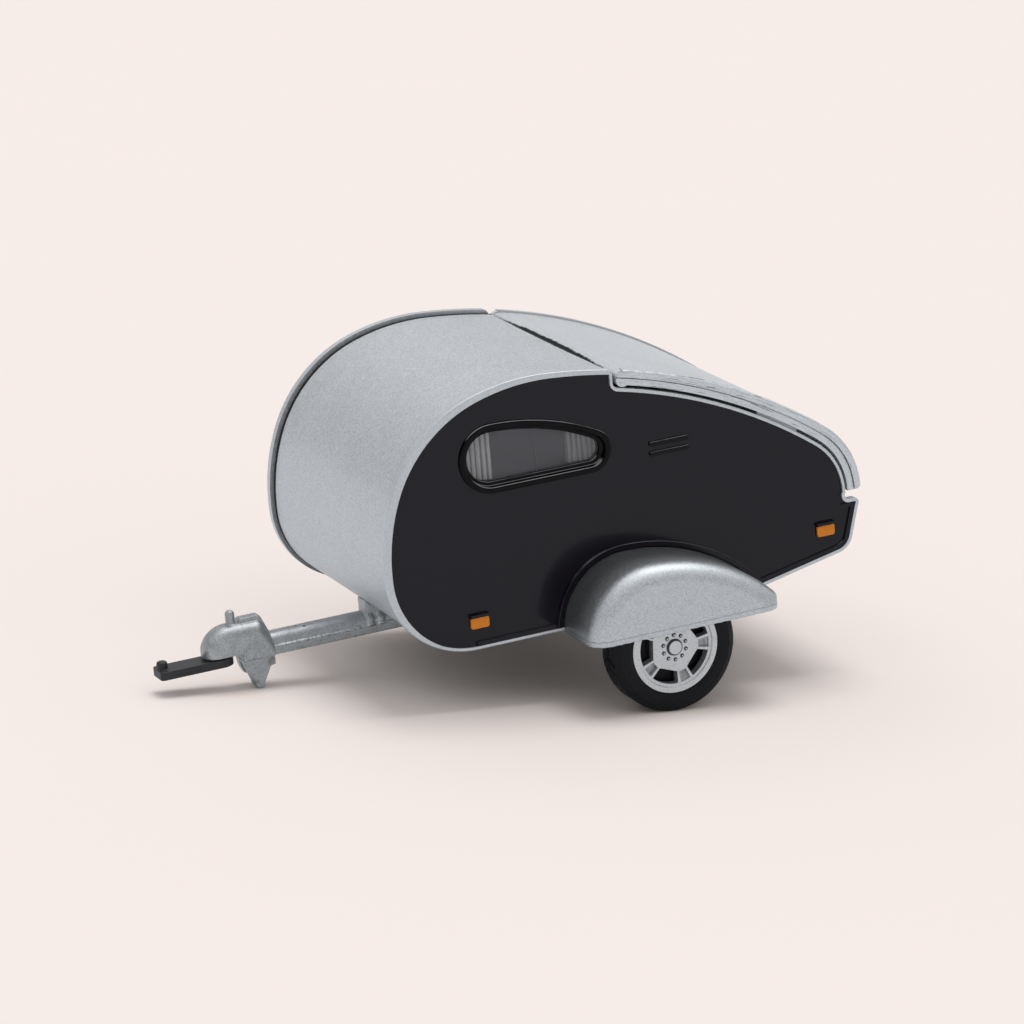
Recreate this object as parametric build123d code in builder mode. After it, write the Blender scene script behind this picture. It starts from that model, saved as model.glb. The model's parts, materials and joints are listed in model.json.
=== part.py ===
from build123d import *
import os
from math import asin, atan2, cos, degrees, hypot, radians, sin, sqrt

# Die-cast model of a teardrop travel trailer with a lifting rear hatch, parked on its wheels and the
# leg under its coupler. Millimetres; +X is forward, +Y left, +Z up. Every piece is drawn with the
# trailer level, its axle over X 0 and its tyres touching Z 0, and the finished trailer is then tipped
# nose-down on to its leg and centred.

# Wheels and axle
TYRE_RADIUS = 13.0
TYRE_WIDTH = 6.8
TYRE_SHOULDER = 0.7
WHEEL_GAP = 0.45
RIM_RADIUS = 9.1
RIM_WALL = 0.7
RIM_LIP = 0.2
RIM_FLANGE = 1.0
RIM_DISH_RADIUS = 7.4
RIM_DISH_DEEP = 1.6
SPOKES = 5
SPOKE_CLOCK = 3.0
SPOKE_DISC = 1.8
SPOKE_DISC_SINK = 0.35
SPOKE_WINDOW_IN = 5.0
SPOKE_WINDOW_ANGLE = 46.0
SPOKE_POCKET_IN = 5.2
SPOKE_POCKET_OUT = 7.4
SPOKE_POCKET_ANGLE = 17.0
SPOKE_POCKET_DEEP = 0.8
HUB_RADIUS = 3.0
HUB_CAP_RADIUS = 1.5
HUB_CAP_HIGH = 0.45
AXLE_RADIUS = 1.0
RUN_GAP = 0.06

# Teardrop outline seen from the side: it leaves the flat floor line forwards and runs round in tangent arcs
FLOOR_Z = 16.8
CHIN_START_X = 36.0
CHIN_RADIUS = 18.0
NOSE_RADIUS = 39.4
SHOULDER_RADIUS = 28.4
ROOF_RADIUS = 43.3
BACK_RADIUS = 113.5
TAIL_RADIUS = 17.7
OUTLINE_ARCS = (  # radius, turn in degrees
    (CHIN_RADIUS, 87.2),
    (NOSE_RADIUS, 24.4),
    (SHOULDER_RADIUS, 51.2),
    (ROOF_RADIUS, 21.4),
    (BACK_RADIUS, 32.5),
    (TAIL_RADIUS, 53.3),
)
BACK_ARC = 4
SILL_Z = 30.8
REAR_TOP_X = -48.3
REAR_TOP_Z = 29.2
REAR_FOOT_X = -45.9
REAR_FOOT_Z = 20.7
REAR_ROUND = 4.0
SILL_ROUND = 0.9
KICK_X = -26.2

# Body walls
HALF_WIDTH = 30.0
BEAD_WIDTH = 0.65
BEAD_NOSE_EXTRA = 1.0
BEAD_ROOF_EXTRA = 0.5
BEAD_DEEP = 1.7
BEAD_ROUND = 0.25
SKIN_INSET = 0.7
SKIN = 1.5
PANEL_INSET = 0.5
PANEL = 1.6
ROLL_WIDTH = 0.9
ROLL_HIGH = 0.4
ROLL_TOP_Z = 30.0

# Hatch and its hinge
ROOF_END_X = 3.1
ROOF_LIP = 4.0
HATCH = 3.0
HATCH_SEAT_GAP = 0.6
HATCH_FOOT_RISE = 0.04
HATCH_LINER_INSET = 0.3
HATCH_SEAM = 0.25
HATCH_SEAM_DEEP = 0.8
HATCH_OPEN = 75.0
HATCH_BEAD_WIDTH = 1.6
HATCH_SKIN_INSET = 0.4
HATCH_ROUND = 0.5
HATCH_FOOT_ROUND = 0.9
HATCH_NOSE_RADIUS = 1.7
RIB_FRONT_X = -8.0
RIB_LONG = 29.0
RIB_DEEP = 1.5
RIB_WIDTH = 1.2
RIB_GAP = 0.4
HINGE_X = 0.8
HINGE_LIP_GAP = 0.35
HINGE_ROD_RADIUS = 0.6
HINGE_ROD_INSET = 3.9
EAR_INSET = 10.9
EAR_WIDTH = 3.0
EAR_RADIUS = 1.1
EAR_STEM = 0.8
EAR_GAP = 0.15
STEP_ROUND = 1.2

# Galley behind the bulkhead, seen when the hatch is up
BULKHEAD_X = -4.5
BULKHEAD = 1.5
BEAM_FRONT_X = 7.0
BEAM_LOW_Z = 57.0
COUNTER_Z = 30.0
COUNTER = 1.5
CABINET_LOW_Z = 43.0
CABINET_HIGH_Z = 53.0
CABINET_DEEP = 10.0
CABINET_DOOR_SINK = 0.5
CABINET_DOOR_FRAME = 2.0

# Side window: flat sill, half-round front end, arched top and small round rear end, in a two-step frame
WINDOW_SILL_Z = 47.2
WINDOW_TALL = 13.9
WINDOW_FRONT_X = 29.6
WINDOW_ARCH_RADIUS = 49.2
WINDOW_REAR_RADIUS = 4.4
WINDOW_FRAME_WIDTH = 2.1
WINDOW_FRAME_HIGH = 0.6
WINDOW_FRAME_ROUND = 0.3
WINDOW_LIP_WIDTH = 0.8
WINDOW_LIP_SINK = 1.4
WINDOW_SLEEVE = 1.2
GLASS = 0.7
GLASS_LAP = 1.2
CURTAIN_BACK = 0.4
CURTAIN_PLEAT = 0.55
CURTAIN_GAP = 0.15
CURTAINS = (  # X of the curtain's middle, pleats
    (31.3, 5),
    (8.8, 7),
)

# Vent of two louvre bars, marker lamps and tail lamps
VENT_X = -8.0
VENT_Z = 49.4
VENT_LONG = 8.6
VENT_BAR = 0.9
VENT_SPACING = 2.0
VENT_HIGH = 0.5
MARKER_LONG = 3.9
MARKER_TALL = 2.3
MARKER_HIGH = 0.6
MARKER_HOOD = 0.55
MARKER_HOOD_HIGH = 0.9
MARKER_ROUND = 0.5
MARKERS = (  # node name, X, Z of the lamp's middle
    ("front_marker", 35.1, 22.2),
    ("rear_marker", -40.8, 25.4),
)
TAIL_LAMP_INSET = 2.9
TAIL_LAMP_WIDE = 6.0
TAIL_LAMP_TALL = 3.6
TAIL_LAMP_HIGH = 0.8

# Fenders
FENDER_FRONT_X = 17.6
FENDER_REAR_X = -25.7
FENDER_LOW_Z = 16.4
FENDER_FRONT_RADIUS = 13.9
FENDER_REACH = 14.5
FENDER_EDGE = 3.8
FENDER_TAIL_CUT = 2.5
FENDER_TAIL_ROUND = 3.2
FENDER_WALL = 0.7
ARCH_GAP = 0.2
ARCH_LIP_WIDTH = 1.1
ARCH_LIP_HIGH = 0.7

# Axle hangers under the floor
HANGER_INSET = 0.9
HANGER = 3.0
HANGER_LONG = 8.0
HANGER_LOW = 2.2

# Drawbar: flat lower flange with a half-round back
DRAWBAR_LOW_Z = 15.0
FLANGE_HIGH_Z = 16.8
DRAWBAR_HIGH_Z = 19.1
FLANGE_HALF = 2.6
BACK_HALF = 2.3
BACK_ROUND = 1.7
DRAWBAR_REAR_X = 14.0
COLLAR_X = 46.9
COLLAR_STEP = 2.3
COLLAR_LONG = 1.1
COLLAR_HIGH = 0.4
GUSSET_FRONT_X = 47.6
GUSSET_HIGH_Z = 23.4
GUSSET_HALF = 1.9
TENON = 3.0

# Coupler: a cast block with a quarter-round dome, every length measured forward from its rear face
COUPLER_REAR_X = 67.5
COUPLER_LONG = 14.4
COUPLER_HALF = 2.9
COUPLER_BACK_HIGH = 3.8
COUPLER_BACK_LEAN = 2.2
COUPLER_BACK_ROUND = 1.2
COUPLER_ROUND = 2.2
SHOULDER_Z = 22.4
DOME_LOW_Z = 16.6
DOME_RADIUS = 5.6
HEEL_LOW_Z = 15.0
HEEL_LONG = 6.7
LEVER_HALF = 1.1
LEVER_LONG = 6.5
LEVER_HIGH = 0.9
LEVER_LEAN = 2.0
LEVER_ROUND = 0.7
KNOB_FORWARD = 7.8
KNOB_RADIUS = 0.95
KNOB_HIGH = 2.8
KNOB_ROUND = 0.8

# Leg that the trailer parks on, and the short lug beside it, both under the coupler's heel
FOOT_FORWARD = 3.55
FOOT_Z = 9.65
FOOT_RADIUS = 0.95
LEG_HEEL_DROP = 1.9
LEG_HEEL = 1.1
LEG_HEEL_SLOPE = 0.3
LEG_OUT_Y = 2.2
LEG_IN_Y = -0.6
LUG_REAR = 1.7
LUG_LONG = 4.8
LUG_LOW_Z = 11.4
LUG_OUT_Y = -1.0
LUG_IN_Y = -2.7

# Tow hook: a flat bar with a peg, pivoting under the coupler's dome
HOOK_PIVOT_SETBACK = 3.7
HOOK_LONG = 13.2
HOOK_HIGH_Z = 16.3
HOOK_LOW_Z = 14.6
HOOK_HALF = 2.6
HOOK_CORNER = 0.8
PIVOT_RADIUS = 1.2
PIVOT_LONG = 3.4
PEG_SETBACK = 1.2
PEG_RADIUS = 1.1
PEG_LONG = 1.6
PEG_ROUND = 0.6

# Places that follow from the sizes above
PANEL_FACE_Y = HALF_WIDTH - PANEL_INSET
PANEL_BACK_Y = PANEL_FACE_Y - PANEL
GLASS_BACK_Y = PANEL_BACK_Y - GLASS
SEAT_DEPTH = HATCH + HATCH_SEAT_GAP
SKIN_BACK = SKIN_INSET + SKIN
FLOOR_TOP_Z = FLOOR_Z + SKIN_BACK
BULKHEAD_REAR_X = BULKHEAD_X - BULKHEAD
HINGE_ROD_HALF = PANEL_BACK_Y - HINGE_ROD_INSET
EAR_Y = PANEL_BACK_Y - EAR_INSET
HANGER_OUT_Y = PANEL_BACK_Y - HANGER_INSET
TAIL_LAMP_Y = PANEL_BACK_Y - TAIL_LAMP_INSET - TAIL_LAMP_WIDE / 2
FENDER_OUT_Y = PANEL_FACE_Y + FENDER_REACH
WHEEL_OUT_Y = FENDER_OUT_Y - FENDER_WALL - WHEEL_GAP
WHEEL_IN_Y = WHEEL_OUT_Y - TYRE_WIDTH
COUPLER_FRONT_X = COUPLER_REAR_X + COUPLER_LONG
COUPLER_BACK_Z = HEEL_LOW_Z + COUPLER_BACK_HIGH
HEEL_FRONT_X = COUPLER_REAR_X + HEEL_LONG
LEVER_Z = SHOULDER_Z + LEVER_HIGH
FOOT_X = COUPLER_REAR_X + FOOT_FORWARD
LUG_REAR_X = COUPLER_REAR_X + LUG_REAR
LUG_FRONT_X = LUG_REAR_X + LUG_LONG
HOOK_PIVOT_X = COUPLER_FRONT_X - HOOK_PIVOT_SETBACK
HOOK_TIP_X = HOOK_PIVOT_X + HOOK_LONG
PEG_X = HOOK_TIP_X - PEG_SETBACK
REACH = 200.0
SAME_PLACE = 0.01

foot_drop = TYRE_RADIUS - FOOT_Z
PARK_PITCH = degrees(
    asin((TYRE_RADIUS - FOOT_RADIUS) / hypot(FOOT_X, foot_drop)) - atan2(foot_drop, FOOT_X)
)
WHEEL_PLANE = Plane(origin=(0, 0, TYRE_RADIUS), x_dir=(0, 1, 0), z_dir=(1, 0, 0))
AXLE_LINE = Axis((0, 0, TYRE_RADIUS), (0, 1, 0))

pieces = {}


def slab(outline, y_out, y_in, mode=Mode.ADD):
    """Extrude a side-view outline from one distance left of the centre plane to another."""
    with BuildSketch(Plane.XZ.offset(-y_out)) as face:
        add(outline.sketch)
    extrude(face.sketch, amount=y_out - y_in, mode=mode)


def on_outline(edge):
    """Tell whether an edge is one of the teardrop outline's own arcs."""
    if edge.geom_type != GeomType.CIRCLE:
        return False
    return any(abs(edge.radius - radius) < SAME_PLACE for radius, _ in OUTLINE_ARCS)


def keep(name, builder):
    """Keep one finished piece under its name."""
    pieces[name] = builder.part


def keep_both(name, builder):
    """Keep a left-hand piece and its mirror image on the right."""
    pieces[f"{name}_left"] = builder.part
    pieces[f"{name}_right"] = mirror(builder.part, about=Plane.XZ)


# Side-view outlines, drawn flat with X forward and Y up
with BuildSketch() as teardrop:
    with BuildLine():
        point, heading = (CHIN_START_X, FLOOR_Z), (1, 0)
        arc_centres = []
        for radius, turn in OUTLINE_ARCS:
            arc = JernArc(point, heading, radius, turn)
            arc_centres.append(arc.arc_center)
            point, heading = arc @ 1, arc % 1
        hatch_foot_z = point.Y + HATCH_FOOT_RISE
        Polyline(
            point,
            (point.X, hatch_foot_z - HATCH_SEAT_GAP),
            (REAR_TOP_X, REAR_TOP_Z),
            (REAR_FOOT_X, REAR_FOOT_Z),
            (KICK_X, FLOOR_Z),
            (CHIN_START_X, FLOOR_Z),
        )
    make_face()
    fillet(teardrop.vertices().sort_by_distance((REAR_FOOT_X, REAR_FOOT_Z))[0], REAR_ROUND)

back_centre = arc_centres[BACK_ARC]
hinge_reach = BACK_RADIUS - HATCH_SKIN_INSET - HATCH / 2
HINGE_Z = back_centre.Y + sqrt(hinge_reach**2 - (HINGE_X - back_centre.X) ** 2)

with BuildSketch() as hatch_room:
    add(teardrop.sketch)
    offset(amount=-SEAT_DEPTH, mode=Mode.SUBTRACT)
    with Locations((ROOF_END_X, SILL_Z)):
        Rectangle(REACH, REACH, align=(Align.MAX, Align.MIN), mode=Mode.INTERSECT)

with BuildSketch() as side_outline:
    add(teardrop.sketch)
    add(hatch_room.sketch, mode=Mode.SUBTRACT)
    step = side_outline.vertices().filter_by_position(Axis.X, ROOF_END_X - SAME_PLACE, ROOF_END_X + SAME_PLACE)
    fillet(step, STEP_ROUND)
    sill = side_outline.vertices().filter_by_position(Axis.Y, SILL_Z - SAME_PLACE, SILL_Z + SAME_PLACE)
    fillet(sill, SILL_ROUND)

with BuildSketch() as bead_limit:
    with Locations((-BEAD_NOSE_EXTRA, -BEAD_ROOF_EXTRA)):
        add(teardrop.sketch)
    offset(amount=-BEAD_WIDTH, mode=Mode.REPLACE)

with BuildSketch() as panel_outline:
    add(side_outline.sketch)
    offset(amount=-BEAD_WIDTH, mode=Mode.REPLACE)
    add(bead_limit.sketch, mode=Mode.INTERSECT)

with BuildSketch() as bead_outline:
    add(side_outline.sketch)
    add(panel_outline.sketch, mode=Mode.SUBTRACT)

with BuildSketch() as body_core:
    add(side_outline.sketch)
    offset(amount=-SKIN_INSET, mode=Mode.REPLACE)

with BuildSketch() as cabin:
    add(side_outline.sketch)
    offset(amount=-SKIN_BACK, mode=Mode.REPLACE)

with BuildSketch() as skin_band:
    add(body_core.sketch)
    add(cabin.sketch, mode=Mode.SUBTRACT)

with BuildSketch() as wrap_outline:
    with Locations((ROOF_END_X, SILL_Z)):
        Rectangle(REACH, REACH, align=(Align.MIN, Align.MIN))
    with Locations((CHIN_START_X, 0)):
        Rectangle(REACH, REACH, align=(Align.MIN, Align.MIN))
    add(skin_band.sketch, mode=Mode.INTERSECT)
    with BuildSketch():
        add(teardrop.sketch)
        offset(amount=-SKIN_INSET, mode=Mode.REPLACE)
        with BuildSketch(mode=Mode.SUBTRACT):
            add(teardrop.sketch)
            offset(amount=-SKIN_BACK, mode=Mode.REPLACE)
        with Locations((HINGE_X + HATCH / 2 + HINGE_LIP_GAP, SILL_Z)):
            Rectangle(ROOF_LIP, REACH, align=(Align.MIN, Align.MIN), mode=Mode.INTERSECT)

with BuildSketch() as floor_outline:
    with Locations((KICK_X, 0)):
        Rectangle(CHIN_START_X - KICK_X, SILL_Z, align=(Align.MIN, Align.MIN))
    add(skin_band.sketch, mode=Mode.INTERSECT)

with BuildSketch() as rear_outline:
    with Locations((KICK_X, 0)):
        Rectangle(REACH, SILL_Z, align=(Align.MAX, Align.MIN))
    add(skin_band.sketch, mode=Mode.INTERSECT)

with BuildSketch() as window_outline:
    with BuildLine():
        crown = Vector(WINDOW_FRONT_X, WINDOW_SILL_Z + WINDOW_TALL)
        arch_centre = crown - Vector(0, WINDOW_ARCH_RADIUS)
        rear_rise = WINDOW_SILL_Z + WINDOW_REAR_RADIUS - arch_centre.Y
        rear_run = sqrt((WINDOW_ARCH_RADIUS - WINDOW_REAR_RADIUS) ** 2 - rear_rise**2)
        rear_top = arch_centre + Vector(-rear_run, rear_rise).normalized() * WINDOW_ARCH_RADIUS
        sill = Line((WINDOW_FRONT_X - rear_run, WINDOW_SILL_Z), (WINDOW_FRONT_X, WINDOW_SILL_Z))
        TangentArc(sill @ 1, crown, tangent=(1, 0))
        TangentArc(crown, rear_top, tangent=(-1, 0))
        TangentArc(sill @ 0, rear_top, tangent=(-1, 0))
    make_face()

with BuildSketch() as glass_outline:
    add(window_outline.sketch)
    offset(amount=-WINDOW_FRAME_WIDTH, mode=Mode.REPLACE)

with BuildSketch() as lip_outline:
    add(glass_outline.sketch)
    offset(amount=WINDOW_LIP_WIDTH, mode=Mode.REPLACE)

with BuildSketch() as window_hole:
    add(glass_outline.sketch)
    offset(amount=WINDOW_SLEEVE, mode=Mode.REPLACE)

with BuildSketch() as pane_outline:
    add(glass_outline.sketch)
    offset(amount=GLASS_LAP, mode=Mode.REPLACE)

with BuildSketch() as fender_outline:
    with BuildLine():
        fender_low_front = (FENDER_FRONT_X, FENDER_LOW_Z)
        fender_crown = (FENDER_FRONT_X - FENDER_FRONT_RADIUS, FENDER_LOW_Z + FENDER_FRONT_RADIUS)
        TangentArc(fender_low_front, fender_crown, tangent=(0, 1))
        TangentArc(fender_crown, (FENDER_REAR_X, FENDER_LOW_Z), tangent=(-1, 0))
        Line((FENDER_REAR_X, FENDER_LOW_Z), fender_low_front)
    make_face()

with BuildSketch() as arch_lip:
    add(fender_outline.sketch)
    offset(amount=ARCH_GAP + ARCH_LIP_WIDTH, mode=Mode.REPLACE)
    with BuildSketch(mode=Mode.SUBTRACT):
        add(fender_outline.sketch)
        offset(amount=ARCH_GAP, mode=Mode.REPLACE)
    add(panel_outline.sketch, mode=Mode.INTERSECT)

with BuildSketch() as panel_roll:
    add(panel_outline.sketch)
    with BuildSketch(mode=Mode.SUBTRACT):
        add(panel_outline.sketch)
        offset(amount=-ROLL_WIDTH, mode=Mode.REPLACE)
    with Locations((CHIN_START_X, 0)):
        Rectangle(REACH, ROLL_TOP_Z, align=(Align.MAX, Align.MIN), mode=Mode.INTERSECT)
    with BuildSketch(mode=Mode.SUBTRACT):
        add(fender_outline.sketch)
        offset(amount=ARCH_GAP, mode=Mode.REPLACE)

# Body shell
with BuildPart() as front_wrap:
    slab(wrap_outline, PANEL_BACK_Y, -PANEL_BACK_Y)
keep("front_wrap", front_wrap)

with BuildPart() as base_plate:
    slab(floor_outline, PANEL_BACK_Y, -PANEL_BACK_Y)
    for hanger_y in (HANGER_OUT_Y, HANGER - HANGER_OUT_Y):
        with BuildSketch(Plane.XZ.offset(-hanger_y)) as hanger:
            with Locations((0, FLOOR_Z + SKIN_INSET)):
                Rectangle(HANGER_LONG, FLOOR_Z + SKIN_INSET - TYRE_RADIUS, align=(Align.CENTER, Align.MAX))
            with Locations((0, TYRE_RADIUS)):
                Circle(AXLE_RADIUS + HANGER_LOW)
                Circle(AXLE_RADIUS + RUN_GAP, mode=Mode.SUBTRACT)
        extrude(hanger.sketch, amount=HANGER)
keep("base_plate", base_plate)

with BuildPart() as rear_panel:
    slab(rear_outline, PANEL_BACK_Y, -PANEL_BACK_Y)
keep("rear_panel", rear_panel)

with BuildPart() as side_panel:
    slab(panel_outline, PANEL_FACE_Y, PANEL_BACK_Y)
    slab(window_hole, PANEL_FACE_Y, PANEL_BACK_Y, Mode.SUBTRACT)
    slab(panel_roll, PANEL_FACE_Y + ROLL_HIGH, PANEL_FACE_Y)
    slab(arch_lip, PANEL_FACE_Y + ARCH_LIP_HIGH, PANEL_FACE_Y)
    for _, marker_x, marker_z in MARKERS:
        with BuildSketch(Plane.XZ.offset(-PANEL_FACE_Y - MARKER_HOOD_HIGH)) as hood:
            with Locations((marker_x, marker_z + MARKER_TALL / 2)):
                Rectangle(MARKER_LONG, MARKER_HOOD, align=(Align.CENTER, Align.MIN))
        extrude(hood.sketch, amount=MARKER_HOOD_HIGH)
keep_both("side_panel", side_panel)

with BuildPart() as edge_bead:
    slab(bead_outline, HALF_WIDTH, HALF_WIDTH - BEAD_DEEP)
    rolled = edge_bead.faces().sort_by(Axis.Y)[-1].edges().filter_by(on_outline)
    fillet(rolled, BEAD_ROUND)
keep_both("edge_bead", edge_bead)

# Windows
with BuildPart() as window_frame:
    frame_face_y = PANEL_FACE_Y + WINDOW_FRAME_HIGH
    slab(window_outline, frame_face_y, PANEL_FACE_Y)
    slab(window_hole, PANEL_FACE_Y, PANEL_BACK_Y)
    slab(lip_outline, frame_face_y, frame_face_y - WINDOW_LIP_SINK, Mode.SUBTRACT)
    slab(glass_outline, frame_face_y, PANEL_BACK_Y, Mode.SUBTRACT)
    fillet(window_frame.faces().sort_by(Axis.Y)[-1].edges(), WINDOW_FRAME_ROUND)
keep_both("window_frame", window_frame)

with BuildPart() as window_glass:
    slab(pane_outline, PANEL_BACK_Y, GLASS_BACK_Y)
keep_both("window_glass", window_glass)

with BuildPart() as curtains:
    pleat_y = GLASS_BACK_Y - CURTAIN_GAP - CURTAIN_PLEAT
    for curtain_x, pleats in CURTAINS:
        with BuildSketch(Plane.XY.offset(WINDOW_SILL_Z)) as folds:
            with Locations((curtain_x, pleat_y)):
                Rectangle(2 * CURTAIN_PLEAT * pleats, CURTAIN_BACK, align=(Align.CENTER, Align.MAX))
                with GridLocations(2 * CURTAIN_PLEAT, 0, pleats, 1):
                    Circle(CURTAIN_PLEAT)
        extrude(folds.sketch, amount=WINDOW_TALL)
    slab(glass_outline, GLASS_BACK_Y, 0, Mode.INTERSECT)
keep_both("curtains", curtains)

# Vent and lamps
with BuildPart() as vent:
    with BuildSketch(Plane.XZ.offset(-PANEL_FACE_Y - VENT_HIGH)) as louvres:
        with Locations((VENT_X, VENT_Z)):
            with GridLocations(0, VENT_SPACING, 1, 2):
                SlotOverall(VENT_LONG, VENT_BAR)
    extrude(louvres.sketch, amount=VENT_HIGH)
keep_both("vent", vent)

for marker_name, marker_x, marker_z in MARKERS:
    with BuildPart() as marker:
        with BuildSketch(Plane.XZ.offset(-PANEL_FACE_Y - MARKER_HIGH)) as lens:
            with Locations((marker_x, marker_z)):
                RectangleRounded(MARKER_LONG, MARKER_TALL, MARKER_ROUND)
        extrude(lens.sketch, amount=MARKER_HIGH)
    keep_both(marker_name, marker)

rear_slope = atan2(REAR_TOP_X - REAR_FOOT_X, REAR_TOP_Z - REAR_FOOT_Z)
rear_middle = (
    (REAR_TOP_X + REAR_FOOT_X) / 2 + SKIN_INSET * cos(rear_slope),
    TAIL_LAMP_Y,
    (REAR_TOP_Z + REAR_FOOT_Z) / 2 - SKIN_INSET * sin(rear_slope),
)
REAR_FACE = Plane(origin=rear_middle, x_dir=(0, -1, 0), z_dir=(-cos(rear_slope), 0, sin(rear_slope)))
with BuildPart() as tail_lamp:
    with BuildSketch(REAR_FACE) as tail_lens:
        Rectangle(TAIL_LAMP_WIDE, TAIL_LAMP_TALL)
    extrude(tail_lens.sketch, amount=TAIL_LAMP_HIGH)
keep_both("tail_lamp", tail_lamp)

# Galley and hatch hinge
with BuildPart() as hinge_beam:
    with BuildSketch() as beam_outline:
        with Locations((BULKHEAD_X, BEAM_LOW_Z)):
            Rectangle(BEAM_FRONT_X - BULKHEAD_X, REACH, align=(Align.MIN, Align.MIN))
        add(cabin.sketch, mode=Mode.INTERSECT)
    slab(beam_outline, PANEL_BACK_Y, -PANEL_BACK_Y)
    with BuildSketch() as ear_outline:
        with Locations((HINGE_X, HINGE_Z)):
            Circle(EAR_RADIUS)
            Rectangle(2 * EAR_STEM, HINGE_Z - BEAM_LOW_Z, align=(Align.CENTER, Align.MAX))
            Circle(HINGE_ROD_RADIUS, mode=Mode.SUBTRACT)
    for ear_y in (EAR_Y, -EAR_Y):
        slab(ear_outline, ear_y + EAR_WIDTH / 2, ear_y - EAR_WIDTH / 2)
keep("hinge_beam", hinge_beam)

with BuildPart() as hinge_rod:
    with BuildSketch(Plane.XZ.offset(-HINGE_ROD_HALF)) as rod:
        with Locations((HINGE_X, HINGE_Z)):
            Circle(HINGE_ROD_RADIUS)
    extrude(rod.sketch, amount=2 * HINGE_ROD_HALF)
keep("hinge_rod", hinge_rod)

with BuildPart() as bulkhead:
    with BuildSketch() as bulkhead_outline:
        with Locations((BULKHEAD_X, FLOOR_TOP_Z)):
            Rectangle(BULKHEAD, REACH, align=(Align.MAX, Align.MIN))
        add(cabin.sketch, mode=Mode.INTERSECT)
    slab(bulkhead_outline, PANEL_BACK_Y, -PANEL_BACK_Y)
keep("galley_bulkhead", bulkhead)

with BuildPart() as counter:
    with BuildSketch() as counter_outline:
        with Locations((BULKHEAD_REAR_X, COUNTER_Z)):
            Rectangle(REACH, COUNTER, align=(Align.MAX, Align.MAX))
        add(cabin.sketch, mode=Mode.INTERSECT)
    slab(counter_outline, PANEL_BACK_Y, -PANEL_BACK_Y)
keep("galley_counter", counter)

with BuildPart() as cabinet:
    with BuildSketch() as cabinet_outline:
        with Locations((BULKHEAD_REAR_X, CABINET_LOW_Z)):
            Rectangle(CABINET_DEEP, CABINET_HIGH_Z - CABINET_LOW_Z, align=(Align.MAX, Align.MIN))
    slab(cabinet_outline, PANEL_BACK_Y, -PANEL_BACK_Y)
    cabinet_face_x = BULKHEAD_REAR_X - CABINET_DEEP
    cabinet_middle = (cabinet_face_x, 0, (CABINET_LOW_Z + CABINET_HIGH_Z) / 2)
    with BuildSketch(Plane(origin=cabinet_middle, x_dir=(0, -1, 0), z_dir=(-1, 0, 0))) as doors:
        with GridLocations(PANEL_BACK_Y, 0, 2, 1):
            Rectangle(
                PANEL_BACK_Y - CABINET_DOOR_FRAME,
                CABINET_HIGH_Z - CABINET_LOW_Z - 2 * CABINET_DOOR_FRAME,
            )
    extrude(doors.sketch, amount=-CABINET_DOOR_SINK, mode=Mode.SUBTRACT)
keep("galley_cabinet", cabinet)

# Hatch: outer shell and inner liner, closed round the hinge rod at the front
with BuildSketch() as hatch_outline:
    add(teardrop.sketch)
    offset(amount=-HATCH, mode=Mode.SUBTRACT)
    with Locations((HINGE_X, hatch_foot_z)):
        Rectangle(REACH, REACH, align=(Align.MAX, Align.MIN), mode=Mode.INTERSECT)
    foot = hatch_outline.vertices().group_by(Axis.Y)[0].sort_by(Axis.X)[0]
    fillet(foot, HATCH_FOOT_ROUND)
    with Locations((HINGE_X, HINGE_Z)):
        Circle(HATCH / 2)

with BuildSketch() as hatch_inner:
    add(teardrop.sketch)
    offset(amount=-HATCH / 2, mode=Mode.REPLACE)

with BuildSketch() as hatch_skin_cut:
    add(teardrop.sketch)
    offset(amount=-HATCH_SKIN_INSET, mode=Mode.SUBTRACT)

with BuildSketch() as rib_outline:
    add(teardrop.sketch)
    offset(amount=-HATCH, mode=Mode.REPLACE)
    with BuildSketch(mode=Mode.SUBTRACT):
        add(teardrop.sketch)
        offset(amount=-HATCH - RIB_DEEP, mode=Mode.REPLACE)
    with Locations((RIB_FRONT_X, SILL_Z)):
        Rectangle(RIB_LONG, REACH, align=(Align.MAX, Align.MIN), mode=Mode.INTERSECT)

with BuildSketch() as nose_outline:
    with Locations((HINGE_X, HINGE_Z)):
        Circle(HATCH_NOSE_RADIUS)
    add(hatch_inner.sketch, mode=Mode.SUBTRACT)

with BuildSketch() as seam_cut:
    add(hatch_inner.sketch)
    offset(amount=-HATCH_SEAM, mode=Mode.SUBTRACT)

with BuildSketch() as ear_notch:
    with Locations((HINGE_X, HINGE_Z)):
        Circle(EAR_RADIUS + EAR_GAP)
        for swing in (0, HATCH_OPEN / 2, HATCH_OPEN):
            Rectangle(2 * (EAR_STEM + EAR_GAP), HATCH, rotation=swing, align=(Align.CENTER, Align.MAX))

with BuildSketch() as rod_bore:
    with Locations((HINGE_X, HINGE_Z)):
        Circle(HINGE_ROD_RADIUS + RUN_GAP)

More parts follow.
